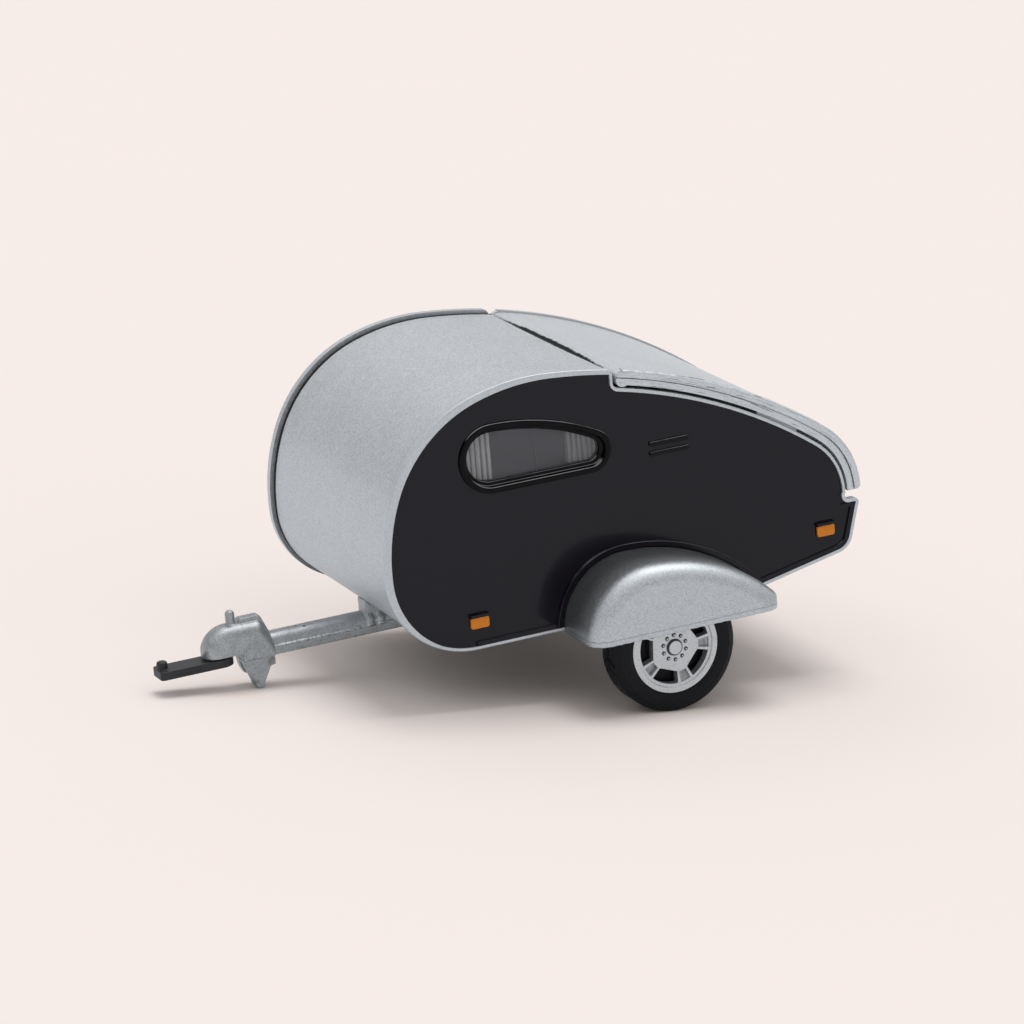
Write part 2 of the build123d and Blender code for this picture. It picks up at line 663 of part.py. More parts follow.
hatch_layers = (  # node name, half width, mode that takes this layer out of the hatch outline
    ("hatch_shell", HALF_WIDTH, Mode.SUBTRACT),
    ("hatch_liner", HALF_WIDTH - HATCH_LINER_INSET, Mode.INTERSECT),
)
for layer_name, layer_half, layer_mode in hatch_layers:
    with BuildPart() as layer:
        with BuildSketch() as layer_outline:
            add(hatch_outline.sketch)
            add(hatch_inner.sketch, mode=layer_mode)
        slab(layer_outline, layer_half, -layer_half)
        slab(rod_bore, HINGE_ROD_HALF + EAR_GAP, -HINGE_ROD_HALF - EAR_GAP, Mode.SUBTRACT)
        for ear_y in (EAR_Y, -EAR_Y):
            notch_half = EAR_WIDTH / 2 + EAR_GAP
            slab(ear_notch, ear_y + notch_half, ear_y - notch_half, Mode.SUBTRACT)
        skin_half = HALF_WIDTH - HATCH_BEAD_WIDTH
        slab(hatch_skin_cut, skin_half, -skin_half, Mode.SUBTRACT)
        if layer_mode == Mode.SUBTRACT:
            sides = layer.faces().sort_by(Axis.Y)
            fillet((sides[0].edges() + sides[-1].edges()).filter_by(on_outline), HATCH_ROUND)
            slab(nose_outline, HALF_WIDTH - HATCH_ROUND, skin_half)
            slab(nose_outline, -skin_half, HATCH_ROUND - HALF_WIDTH)
        else:
            slab(seam_cut, layer_half, layer_half - HATCH_SEAM_DEEP, Mode.SUBTRACT)
            slab(seam_cut, HATCH_SEAM_DEEP - layer_half, -layer_half, Mode.SUBTRACT)
            for rib_y in (PANEL_BACK_Y - RIB_GAP, RIB_WIDTH + RIB_GAP - PANEL_BACK_Y):
                slab(rib_outline, rib_y, rib_y - RIB_WIDTH)
    keep(layer_name, layer)

# Fenders
with BuildPart() as fender:
    slab(fender_outline, FENDER_OUT_Y, PANEL_FACE_Y)
    rim = fender.faces().sort_by(Axis.Y)[-1].edges().sort_by(Axis.Z)[1:]
    fillet(rim, FENDER_EDGE)
    with BuildSketch(Plane.XY.offset(FENDER_LOW_Z)) as fender_plan:
        tail_x = FENDER_REAR_X + FENDER_TAIL_CUT
        with Locations((tail_x, PANEL_FACE_Y)):
            Rectangle(FENDER_FRONT_X - tail_x, FENDER_REACH, align=(Align.MIN, Align.MIN))
        fillet(fender_plan.vertices().sort_by_distance((tail_x, FENDER_OUT_Y))[0], FENDER_TAIL_ROUND)
    extrude(fender_plan.sketch, amount=FENDER_FRONT_RADIUS, mode=Mode.INTERSECT)
    open_faces = [fender.faces().sort_by(Axis.Y)[0], fender.faces().sort_by(Axis.Z)[0]]
    offset(amount=-FENDER_WALL, openings=open_faces, mode=Mode.REPLACE)
    add(edge_bead.part, mode=Mode.SUBTRACT)
keep_both("fender", fender)

# Drawbar and coupler
with BuildPart() as body_block:
    slab(body_core, HALF_WIDTH, -HALF_WIDTH)

with BuildPart() as drawbar:
    tenon_x = COUPLER_REAR_X + TENON
    with BuildSketch(Plane.YZ.offset(DRAWBAR_REAR_X)) as flange:
        with Locations((0, DRAWBAR_LOW_Z)):
            Rectangle(2 * FLANGE_HALF, FLANGE_HIGH_Z - DRAWBAR_LOW_Z, align=(Align.CENTER, Align.MIN))
    extrude(flange.sketch, amount=tenon_x - DRAWBAR_REAR_X)
    for grow, start_x, end_x in (
        (0, DRAWBAR_REAR_X, tenon_x),
        (COLLAR_HIGH, COLLAR_X - COLLAR_LONG / 2, COLLAR_X + COLLAR_LONG / 2),
        (COLLAR_HIGH, COLLAR_X - COLLAR_STEP - COLLAR_LONG / 2, COLLAR_X - COLLAR_STEP + COLLAR_LONG / 2),
    ):
        with BuildSketch(Plane.YZ.offset(start_x)) as half_round:
            with Locations((0, FLANGE_HIGH_Z)):
                Rectangle(
                    2 * (BACK_HALF + grow),
                    DRAWBAR_HIGH_Z + grow - FLANGE_HIGH_Z,
                    align=(Align.CENTER, Align.MIN),
                )
            fillet(half_round.vertices().group_by(Axis.Y)[-1], BACK_ROUND + grow)
        extrude(half_round.sketch, amount=end_x - start_x)
    with BuildSketch(Plane.XZ.offset(-GUSSET_HALF)) as gusset:
        with Locations((GUSSET_FRONT_X, FLANGE_HIGH_Z)):
            Rectangle(
                GUSSET_FRONT_X - CHIN_START_X,
                GUSSET_HIGH_Z - FLANGE_HIGH_Z,
                align=(Align.MAX, Align.MIN),
            )
    extrude(gusset.sketch, amount=2 * GUSSET_HALF)
    add(body_block.part, mode=Mode.SUBTRACT)
keep("drawbar", drawbar)

with BuildPart() as coupler:
    with BuildSketch() as block_outline:
        with BuildLine():
            shoulder_rear = (COUPLER_REAR_X + COUPLER_BACK_LEAN, SHOULDER_Z)
            dome_crown = (COUPLER_FRONT_X - DOME_RADIUS, SHOULDER_Z)
            dome_rim = (COUPLER_FRONT_X, SHOULDER_Z - DOME_RADIUS)
            Polyline(
                dome_rim,
                (COUPLER_FRONT_X, DOME_LOW_Z),
                (HEEL_FRONT_X, DOME_LOW_Z),
                (HEEL_FRONT_X, HEEL_LOW_Z),
                (COUPLER_REAR_X, HEEL_LOW_Z),
                (COUPLER_REAR_X, COUPLER_BACK_Z),
                shoulder_rear,
                dome_crown,
            )
            TangentArc(dome_crown, dome_rim, tangent=(1, 0))
        make_face()
        fillet(block_outline.vertices().sort_by_distance(shoulder_rear)[0], COUPLER_BACK_ROUND)
    slab(block_outline, COUPLER_HALF, -COUPLER_HALF)
    shoulders = coupler.edges().filter_by(Axis.Y, reverse=True)
    fillet(shoulders.filter_by_position(Axis.Z, COUPLER_BACK_Z, SHOULDER_Z), COUPLER_ROUND)
    with BuildSketch(Plane.XY.offset(HEEL_LOW_Z)) as block_plan:
        with Locations((COUPLER_REAR_X, 0)):
            dome_middle = COUPLER_LONG - COUPLER_HALF
            Rectangle(dome_middle, 2 * COUPLER_HALF, align=(Align.MIN, Align.CENTER))
        with Locations((COUPLER_REAR_X + dome_middle, 0)):
            Circle(COUPLER_HALF)
    extrude(block_plan.sketch, amount=SHOULDER_Z - HEEL_LOW_Z, mode=Mode.INTERSECT)
    with BuildSketch() as lever_outline:
        with BuildLine():
            lever_rear = (COUPLER_REAR_X + LEVER_LEAN, LEVER_Z)
            lever_front = (COUPLER_REAR_X + LEVER_LONG, LEVER_Z)
            Polyline(
                (COUPLER_REAR_X, COUPLER_BACK_Z),
                lever_rear,
                lever_front,
                (COUPLER_REAR_X + LEVER_LONG, COUPLER_BACK_Z),
                close=True,
            )
        make_face()
        fillet(lever_outline.vertices().group_by(Axis.Y)[-1], LEVER_ROUND)
    slab(lever_outline, LEVER_HALF, -LEVER_HALF)
    with Locations((COUPLER_REAR_X + KNOB_FORWARD, 0, COUPLER_BACK_Z)):
        knob_long = SHOULDER_Z + KNOB_HIGH - COUPLER_BACK_Z
        Cylinder(KNOB_RADIUS, knob_long, align=(Align.CENTER, Align.CENTER, Align.MIN))
    fillet(coupler.faces().sort_by(Axis.Z)[-1].edges(), KNOB_ROUND)
    with BuildSketch(Plane.XY.offset(DOME_LOW_Z)) as pivot_hole:
        with Locations((HOOK_PIVOT_X, 0)):
            Circle(PIVOT_RADIUS + RUN_GAP)
    extrude(pivot_hole.sketch, amount=PIVOT_LONG, mode=Mode.SUBTRACT)
    add(drawbar.part, mode=Mode.SUBTRACT)
keep("coupler", coupler)

with BuildPart() as leg:
    with BuildSketch(Plane.XZ.offset(-LEG_OUT_Y)) as leg_outline:
        with BuildLine():
            leg_heel_z = HEEL_LOW_Z - LEG_HEEL_DROP
            Polyline(
                (COUPLER_REAR_X, HEEL_LOW_Z),
                (COUPLER_REAR_X, leg_heel_z),
                (COUPLER_REAR_X + LEG_HEEL, leg_heel_z - LEG_HEEL_SLOPE),
                (FOOT_X - FOOT_RADIUS, FOOT_Z),
                (FOOT_X + FOOT_RADIUS, FOOT_Z),
                (HEEL_FRONT_X, HEEL_LOW_Z),
                close=True,
            )
        make_face()
        with Locations((FOOT_X, FOOT_Z)):
            Circle(FOOT_RADIUS)
    extrude(leg_outline.sketch, amount=LEG_OUT_Y - LEG_IN_Y)
    with BuildSketch(Plane.XZ.offset(-LUG_OUT_Y)) as lug_outline:
        with BuildLine():
            lug_low_front = (LUG_FRONT_X - LEG_HEEL, LUG_LOW_Z)
            Polyline(
                lug_low_front,
                (LUG_REAR_X + LEG_HEEL, LUG_LOW_Z),
                (LUG_REAR_X, HEEL_LOW_Z),
                (LUG_FRONT_X, HEEL_LOW_Z),
            )
            TangentArc((LUG_FRONT_X, HEEL_LOW_Z), lug_low_front, tangent=(0, -1))
        make_face()
    extrude(lug_outline.sketch, amount=LUG_OUT_Y - LUG_IN_Y)
keep("jack_leg", leg)

with BuildPart() as tow_hook:
    with BuildSketch(Plane.XY.offset(HOOK_LOW_Z)) as bar_plan:
        with Locations((HOOK_PIVOT_X, 0)):
            Rectangle(HOOK_TIP_X - HOOK_PIVOT_X, 2 * HOOK_HALF, align=(Align.MIN, Align.CENTER))
        fillet(bar_plan.vertices().group_by(Axis.X)[-1], HOOK_CORNER)
        with Locations((HOOK_PIVOT_X, 0)):
            Circle(HOOK_HALF)
    extrude(bar_plan.sketch, amount=HOOK_HIGH_Z - HOOK_LOW_Z)
    with Locations((PEG_X, 0, HOOK_HIGH_Z)):
        Cylinder(PEG_RADIUS, PEG_LONG, align=(Align.CENTER, Align.CENTER, Align.MIN))
    fillet(tow_hook.faces().sort_by(Axis.Z)[-1].edges(), PEG_ROUND)
    with Locations((HOOK_PIVOT_X, 0, HOOK_HIGH_Z)):
        pivot_rise = DOME_LOW_Z - HOOK_HIGH_Z + PIVOT_LONG - RUN_GAP
        Cylinder(PIVOT_RADIUS, pivot_rise, align=(Align.CENTER, Align.CENTER, Align.MIN))
keep("tow_hook", tow_hook)

# Wheelset
rim_edge_y = WHEEL_OUT_Y - RIM_LIP
rim_inside = RIM_RADIUS - RIM_WALL
disc_out_y = rim_edge_y - SPOKE_DISC_SINK
disc_in_y = disc_out_y - SPOKE_DISC
with BuildPart() as axle:
    with BuildSketch(Plane.XZ.offset(-disc_out_y)) as shaft:
        with Locations((0, TYRE_RADIUS)):
            Circle(AXLE_RADIUS)
    extrude(shaft.sketch, amount=2 * disc_out_y)
keep("axle", axle)

with BuildPart() as tyre:
    with BuildSketch(WHEEL_PLANE) as tyre_section:
        with Locations((WHEEL_IN_Y, RIM_RADIUS)):
            Rectangle(TYRE_WIDTH, TYRE_RADIUS - RIM_RADIUS, align=(Align.MIN, Align.MIN))
        chamfer(tyre_section.vertices().group_by(Axis.Y)[-1], TYRE_SHOULDER)
    revolve(tyre_section.sketch, axis=AXLE_LINE)
keep_both("tyre", tyre)


def spoke_cut(inner, outer, angle, clock, depth):
    """Cut one tapered pocket into the outer face of the spoke disc at each turn of the spokes."""
    side = radians(angle / 2)
    for spoke in range(SPOKES):
        turn = radians(clock + spoke * 360 / SPOKES)
        face = Plane(origin=(0, disc_out_y, TYRE_RADIUS), x_dir=(cos(turn), 0, sin(turn)), z_dir=(0, 1, 0))
        with BuildSketch(face) as pocket:
            with BuildLine():
                inner_x, inner_y = inner * cos(side), inner * sin(side)
                outer_x, outer_y = outer * cos(side), outer * sin(side)
                inner_end = Line((inner_x, inner_y), (inner_x, -inner_y))
                outer_end = ThreePointArc((outer_x, outer_y), (outer, 0), (outer_x, -outer_y))
                Line(inner_end @ 0, outer_end @ 0)
                Line(inner_end @ 1, outer_end @ 1)
            make_face()
        extrude(pocket.sketch, amount=-depth, mode=Mode.SUBTRACT)


with BuildPart() as rim:
    with BuildSketch(WHEEL_PLANE) as rim_section:
        with Locations((WHEEL_IN_Y + RIM_LIP, rim_inside)):
            Rectangle(TYRE_WIDTH - 2 * RIM_LIP, RIM_WALL, align=(Align.MIN, Align.MIN))
        with BuildLine():
            Polyline(
                (rim_edge_y, rim_inside),
                (rim_edge_y, RIM_RADIUS - RIM_FLANGE),
                (rim_edge_y - RIM_DISH_DEEP, RIM_DISH_RADIUS),
                (rim_edge_y - RIM_DISH_DEEP, rim_inside),
                close=True,
            )
        make_face()
        with Locations((disc_out_y, AXLE_RADIUS)):
            Rectangle(SPOKE_DISC, rim_inside - AXLE_RADIUS, align=(Align.MAX, Align.MIN))
        with Locations((disc_out_y, 0)):
            Rectangle(HUB_CAP_HIGH, HUB_CAP_RADIUS, align=(Align.MIN, Align.MIN))
        with Locations((disc_in_y, AXLE_RADIUS)):
            Rectangle(disc_in_y - WHEEL_IN_Y, HUB_RADIUS - AXLE_RADIUS, align=(Align.MAX, Align.MIN))
    revolve(rim_section.sketch, axis=AXLE_LINE)
    spoke_cut(SPOKE_WINDOW_IN, RIM_DISH_RADIUS, SPOKE_WINDOW_ANGLE, SPOKE_CLOCK, SPOKE_DISC)
    half_turn = 180 / SPOKES
    spoke_cut(SPOKE_POCKET_IN, SPOKE_POCKET_OUT, SPOKE_POCKET_ANGLE, SPOKE_CLOCK + half_turn, SPOKE_POCKET_DEEP)
keep_both("rim", rim)

# Tip the level trailer on to its leg and centre it over the origin
tipped = Pos(0, 0, TYRE_RADIUS) * Rot(0, PARK_PITCH, 0) * Pos(0, 0, -TYRE_RADIUS)
tipped_box = Compound([part.moved(tipped) for part in pieces.values()]).bounding_box()
PARK = Pos(-(tipped_box.min.X + tipped_box.max.X) / 2, 0, -tipped_box.min.Z) * tipped

os.makedirs("parts", exist_ok=True)
for name, part in pieces.items():
    parked = part.moved(PARK)
    parked.label = name
    export_step(parked, f"parts/{name}.step")
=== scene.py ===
"""Looks and small details of a die-cast model teardrop trailer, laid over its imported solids."""

from __future__ import annotations

import json
import logging
import math
from dataclasses import dataclass
from enum import Enum
from functools import cache, cached_property
from typing import Any, Callable, Iterable

import bpy
from mathutils import Euler, Matrix, Vector


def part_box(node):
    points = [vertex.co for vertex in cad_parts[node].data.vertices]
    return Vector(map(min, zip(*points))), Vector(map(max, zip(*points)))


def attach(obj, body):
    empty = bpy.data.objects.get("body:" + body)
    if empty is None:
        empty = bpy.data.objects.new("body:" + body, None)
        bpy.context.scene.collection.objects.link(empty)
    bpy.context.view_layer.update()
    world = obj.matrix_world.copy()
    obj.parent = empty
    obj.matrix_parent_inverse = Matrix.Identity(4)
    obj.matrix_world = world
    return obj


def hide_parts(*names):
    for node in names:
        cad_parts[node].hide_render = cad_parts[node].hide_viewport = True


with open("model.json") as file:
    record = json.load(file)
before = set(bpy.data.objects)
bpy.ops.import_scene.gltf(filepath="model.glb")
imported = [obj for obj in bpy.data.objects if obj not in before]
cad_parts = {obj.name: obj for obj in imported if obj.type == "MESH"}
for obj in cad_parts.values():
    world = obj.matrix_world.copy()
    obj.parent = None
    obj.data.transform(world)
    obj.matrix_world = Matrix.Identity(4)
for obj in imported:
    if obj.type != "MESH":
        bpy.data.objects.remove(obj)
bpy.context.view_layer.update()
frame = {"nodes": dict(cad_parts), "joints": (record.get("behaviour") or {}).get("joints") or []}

MM = 0.001
log = logging.getLogger("trailer_looks")

Pair = tuple[float, float]
Triple = tuple[float, float, float]
Colour = Triple
Material = bpy.types.Material
Piece = bpy.types.Object


class Side(Enum):
    """The trailer's two sides, by the sign of Y."""

    LEFT = 1
    RIGHT = -1

    def named(self, piece: str) -> str:
        """The piece's name with its side."""
        return f"{piece}_{self.name.lower()}"


class Rider(Enum):
    """The bodies that pieces ride on."""

    TRAILER = "trailer"
    HATCH = "hatch"
    WHEELSET = "wheelset"
    HOOK = "hook"


@dataclass(frozen=True)
class LevelFrame:
    """The trailer standing level, before its nose goes down on to the leg.

    Lengths are in millimetres: x forward from the axle, y to the left and z up from the tyres' foot.
    """

    axle: Vector
    forward: Vector
    up: Vector
    tyre_radius: float

    @classmethod
    def from_joints(cls) -> LevelFrame:
        """The frame that the wheel and hook joints give.

        Returns:
            The level frame, with its axle in row metres.
        """
        joints = {joint["name"]: joint for joint in frame["joints"]}
        up = Vector(joints["hook_swivel"]["axis"]).normalized()
        low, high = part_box("tyre_left")
        return cls(
            axle=Vector(joints["wheel_spin"]["pos_m"]),
            forward=Vector((0, 1, 0)).cross(up),
            up=up,
            tyre_radius=(high.z - low.z) / 2 / MM,
        )

    def turn(self) -> Matrix:
        """The rotation from the level trailer to the parked one."""
        return Matrix((self.forward, Vector((0, 1, 0)), self.up)).transposed()

    def point(self, x: float, y: float, z: float) -> Vector:
        """A level point in millimetres, as the parked trailer's point in row metres."""
        return self.axle + self.turn() @ Vector((x, y, z - self.tyre_radius)) * MM


@dataclass(frozen=True)
class LugRing:
    """The ring of lug studs on each wheel, in millimetres, which the paint and the studs share."""

    count: int = 10
    ring: float = 2.5
    radius: float = 0.24
    disc_y: float = 42.3

    def pitch(self) -> float:
        """The angle from one stud to the next, in radians."""
        return math.tau / self.count


LEVEL = LevelFrame.from_joints()
LUGS = LugRing()


def shaded(colour: Colour, share: float) -> Colour:
    """The colour times a number."""
    return tuple(part * share for part in colour)


class Wire:
    """A value socket that takes part in Python arithmetic by adding Math nodes."""

    LINE_CORE: float = 0.35

    def __init__(self, shading: Shading, socket: bpy.types.NodeSocket) -> None:
        """Hold the socket and the tree that it is in."""
        self.shading = shading
        self.socket = socket

    def maths(self, operation: str, *values: Wire | float) -> Wire:
        """A Math node over these values."""
        return self.shading.node("ShaderNodeMath", {"operation": operation}, dict(enumerate(values)))

    def __add__(self, other: Wire | float) -> Wire:
        """The sum."""
        return self.maths("ADD", self, other)

    __radd__ = __add__

    def __sub__(self, other: Wire | float) -> Wire:
        """The difference."""
        return self.maths("SUBTRACT", self, other)

    def __rsub__(self, other: float) -> Wire:
        """The difference the other way round."""
        return self.maths("SUBTRACT", other, self)

    def __mul__(self, other: Wire | float) -> Wire:
        """The product."""
        return self.maths("MULTIPLY", self, other)

    __rmul__ = __mul__

    def __truediv__(self, other: Wire | float) -> Wire:
        """The quotient."""
        return self.maths("DIVIDE", self, other)

    def __abs__(self) -> Wire:
        """The size without its sign."""
        return self.maths("ABSOLUTE", self)

    def at_most(self, other: Wire | float) -> Wire:
        """The smaller of the two."""
        return self.maths("MINIMUM", self, other)

    def at_least(self, other: Wire | float) -> Wire:
        """The larger of the two."""
        return self.maths("MAXIMUM", self, other)

    def root(self) -> Wire:
        """The square root."""
        return self.maths("SQRT", self)

    def off(self, period: float) -> Wire:
        """How far the value is from the nearest whole number of periods."""
        return self.maths("PINGPONG", self, period / 2)

    def rising(self, low: float, high: float) -> Wire:
        """A smooth step from 0 at low to 1 at high, or a falling one where high is below low."""
        start, end, first = (low, high, 0.0) if low < high else (high, low, 1.0)
        return self.shading.node(
            "ShaderNodeMapRange",
            {"interpolation_type": "SMOOTHSTEP", "clamp": True},
            {"Value": self, "From Min": start, "From Max": end, "To Min": first, "To Max": 1 - first},
        )

    def line(self, place: float, half: float) -> Wire:
        """1 on a line at this value, falling to 0 at half a width to each side."""
        return abs(self - place).rising(half, half * self.LINE_CORE)


class Shading:
    """The node tree of one material or of the world."""

    def __init__(self, owner: Material | bpy.types.World) -> None:
        """Start an empty tree.

        Args:
            owner: The material or world that holds it.
        """
        self.owner = owner
        owner.use_nodes = True
        self.tree = owner.node_tree
        self.tree.nodes.clear()

    @classmethod
    def of(cls, name: str) -> Shading:
        """The tree of a new material of this name."""
        return cls(bpy.data.materials.new(name))

    def node(
        self, kind: str, settings: dict[str, Any] | None = None, sockets: dict[Any, Any] | None = None,
        output: str | int = 0,
    ) -> Wire:
        """Add any node, its settings first and then its sockets.

        Args:
            kind: The node's type.
            settings: Its own properties; color_ramp takes a list of (place, colour) stops.
            sockets: Values or wires by the input's name or number.
            output: The output that is wanted, by name or number.

        Returns:
            That output as a wire.
        """
        made = self.tree.nodes.new(kind)
        for key, value in (settings or {}).items():
            if key == "color_ramp":
                while len(made.color_ramp.elements) < len(value):
                    made.color_ramp.elements.new(1.0)
                for element, (place, colour) in zip(made.color_ramp.elements, value):
                    element.position, element.color = place, (*colour, 1.0)
            else:
                setattr(made, key, value)
        for key, value in (sockets or {}).items():
            if isinstance(value, Wire):
                self.tree.links.new(value.socket, made.inputs[key])
            else:
                target = made.inputs[key]
                target.default_value = (*value, 1.0) if target.type == "RGBA" and len(value) == 3 else value
        return Wire(self, made.outputs[output]) if made.outputs else Wire(self, None)

    @cached_property
    def level(self) -> Wire:
        """Object coordinates on the level trailer, made once in each tree.

        Returns:
            The coordinates in millimetres.
        """
        back = LEVEL.turn().transposed()
        shift = back @ LEVEL.axle / MM
        return self.node(
            "ShaderNodeMapping",
            {"vector_type": "POINT"},
            {
                "Vector": self.node("ShaderNodeTexCoord", output="Object"),
                "Location": (-shift.x, -shift.y, LEVEL.tyre_radius - shift.z),
                "Rotation": tuple(back.to_euler()),
                "Scale": (1 / MM,) * 3,
            },
        )

    def axes(self, vector: Wire | None = None) -> tuple[Wire, Wire, Wire]:
        """The three parts of a vector, or else of the level coordinates."""
        parts = self.node("ShaderNodeSeparateXYZ", sockets={"Vector": vector or self.level})
        return tuple(Wire(self, parts.socket.node.outputs[axis]) for axis in "XYZ")

    def stretched(self, scale: Triple) -> Wire:
        """The level coordinates times a scale along each axis."""
        return self.node("ShaderNodeVectorMath", {"operation": "MULTIPLY"}, {0: self.level, 1: scale})

    def noise(
        self, grain: float, detail: float = 2.0, roughness: float = 0.5, place: Wire | None = None,
    ) -> Wire:
        """Soft noise.

        Args:
            grain: The size of a grain in millimetres.
            detail: Finer layers on top.
            roughness: How strong those layers are.
            place: Coordinates other than the level ones.

        Returns:
            A value about 0.5.
        """
        return self.node(
            "ShaderNodeTexNoise",
            {"noise_dimensions": "3D"},
            {"Vector": place or self.level, "Scale": 1 / grain, "Detail": detail, "Roughness": roughness},
        )

    def cells(self, spacing: float, output: str) -> Wire:
        """One output of scattered cells of this spacing, in millimetres."""
        sockets = {"Vector": self.level, "Scale": 1 / spacing}
        return self.node("ShaderNodeTexVoronoi", {"feature": "F1"}, sockets, output)

    def specks(self, spacing: float) -> Wire:
        """A random value for each cell of this spacing, in millimetres."""
        return self.node("ShaderNodeSeparateColor", sockets={"Color": self.cells(spacing, "Color")})

    def dots(self, spacing: float, radius: float) -> Wire:
        """1 on scattered round dots, one to a cell, by the cells' spacing and the dots' radius."""
        size = radius / spacing
        return self.cells(spacing, "Distance").rising(size, size * 0.5)

    def blend(self, share: Wire | float, low: Wire | Colour, high: Wire | Colour) -> Wire:
        """A colour between two, by a share from 0 to 1."""
        return self.node(
            "ShaderNodeMix",
            {"data_type": "RGBA", "blend_type": "MIX", "clamp_factor": True},
            {0: share, 6: low, 7: high},
            output=2,
        )

    def dimmed(self, colour: Colour, share: Wire) -> Wire:
        """The colour times a value."""
        return self.node("ShaderNodeVectorMath", {"operation": "SCALE"}, {0: colour, "Scale": share})

    def reach(self, first: Wire, second: Wire, centre: Pair) -> Wire:
        """The distance from a centre, over two of the coordinates."""
        over, up = first - centre[0], second - centre[1]
        return (over * over + up * up).root()

    def bump(self, height: Wire, distance: float, under: Wire | None = None) -> Wire:
        """A normal from a height field.

        Args:
            height: Heights from about 0 to 1.
            distance: What a height of 1 stands for, in millimetres.
            under: A bump that this one lies on.

        Returns:
            The bumped normal.
        """
        sockets: dict[Any, Any] = {"Height": height, "Distance": distance * MM, "Strength": 1.0}
        if under is not None:
            sockets["Normal"] = under
        return self.node("ShaderNodeBump", {}, sockets)

    def surface(self, sockets: dict[str, Any]) -> Material:
        """Close the tree with a Principled shader.

        Args:
            sockets: The shader's values and wires.

        Returns:
            The finished material.
        """
        shader = self.node("ShaderNodeBsdfPrincipled", {}, sockets)
        self.node("ShaderNodeOutputMaterial", {}, {"Surface": shader})
        return self.owner


@dataclass(frozen=True)
class FlakePaint:
    """Satin silver paint with fine metal flake."""

    name: str = "silver_flake_paint"
    colour: Colour = (0.65, 0.68, 0.703)
    flake: float = 0.22
    sparkle: float = 0.34
    roughness: float = 0.4
    metallic: float = 0.62
    relief: float = 0.004
    cloud_grain: float = 9.0
    peel_grain: float = 0.45
    dust_cells: Pair = (6.5, 0.08)
    rag_grain: float = 1.3

    def marks(self, paint: Shading) -> tuple[Wire | float, Wire | float]:
        """The share of painted shade and streaks that one piece has, and the height that it adds to the
        paint.
        """
        return 0.0, 0.0

    def painted_reflection_share(self, paint: Shading) -> Wire | float:
        """The share of tone that is painted away as a dark reflection, with the metal's sheen kept."""
        return 0.0

    def ragged(self, paint: Shading) -> Wire:
        """An uneven value about 0, for the ragged edges of painted shade."""
        return paint.noise(self.rag_grain, 3.0) - 0.5

    def material(self) -> Material:
        """Mix the paint.

        Returns:
            The material.
        """
        paint = Shading.of(self.name)
        flakes = paint.specks(self.flake)
        cloud = paint.noise(self.cloud_grain, 3.0)
        peel = paint.noise(self.peel_grain)
        dust = paint.dots(*self.dust_cells)
        # Each piece's marks are painted shade, and on the hatch also streaks; with the dust they darken the
        # paint.
        grime_and_shade, raised = self.marks(paint)
        dark = (dust * 0.4).at_least(grime_and_shade)
        tone = (1 + (flakes - 0.5) * self.sparkle + (cloud - 0.5) * 0.1) * (1 - dark)
        # The fender's painted dark reflection lowers the tone alone and keeps the metal's sheen.
        tone = tone * (1 - self.painted_reflection_share(paint))
        return paint.surface({
            "Base Color": paint.dimmed(self.colour, tone),
            "Metallic": self.metallic * (1 - dark),
            "Roughness": self.roughness + (flakes - 0.5) * 0.16 + dark * 0.3,
            "Specular IOR Level": 0.15,
            "Coat Weight": 0.2 * (1 - dark),
            "Coat Roughness": 0.25,
            "Normal": paint.bump(peel + raised, self.relief),
        })


@dataclass(frozen=True)
class WrapPaint(FlakePaint):
    """The wrap's paint, with painted shade in the gaps where it meets the side beads and the hatch."""

    name: str = "wrap_paint"
    bead_y: float = 26.92
    half_width: float = 27.0
    lip_x: float = 2.65
    lip_shade_bulge: float = 0.6
    roof_z: Pair = (58.0, 60.0)

    def marks(self, paint: Shading) -> tuple[Wire | float, Wire | float]:
        """Painted shade in the gaps along the beads and along the rear lip.

        Args:
            paint: The paint's tree.

        Returns:
            The share of painted shade, and no height.
        """
        x, y, z = paint.axes()
        rag = self.ragged(paint)
        # Painted shade: a dark line in the gap beside each bead, and a dark wedge in the seam at the rear
        # lip, widest in the middle and only up on the roof.
        beside = (abs(y) + rag * 0.22).rising(self.bead_y - 0.1, self.bead_y + 0.1)
        middle = 1 - (y / self.half_width) * (y / self.half_width)
        lip = (x - middle * self.lip_shade_bulge + rag * 0.5).rising(self.lip_x + 0.22, self.lip_x + 0.02)
        return beside.at_least(lip * z.rising(*self.roof_z)) * 0.97, 0.0


@dataclass(frozen=True)
class BeadPaint(FlakePaint):
    """The side beads' paint, with the shade of the gap between bead and wrap painted dark on their inner
    walls.
    """

    name: str = "bead_paint"
    sparkle: float = 0.2
    wall_y: float = 28.3
    roof_x: Pair = (8.0, 30.0)

    def marks(self, paint: Shading) -> tuple[Wire | float, Wire | float]:
        """The inner wall's painted shade, fading out along the roof.

        Args:
            paint: The paint's tree.

        Returns:
            The share of painted shade, and no height.
        """
        x, y, _ = paint.axes()
        rag = self.ragged(paint)
        # Painted shade of the gap between bead and wrap, on the inner wall and ragged, fading out along the
        # roof.
        wall = abs(y).rising(self.wall_y + 0.06, self.wall_y + 0.02)
        front = (x + rag * 6).rising(*self.roof_x)
        return wall * front * (0.24 + rag * 0.7), 0.0


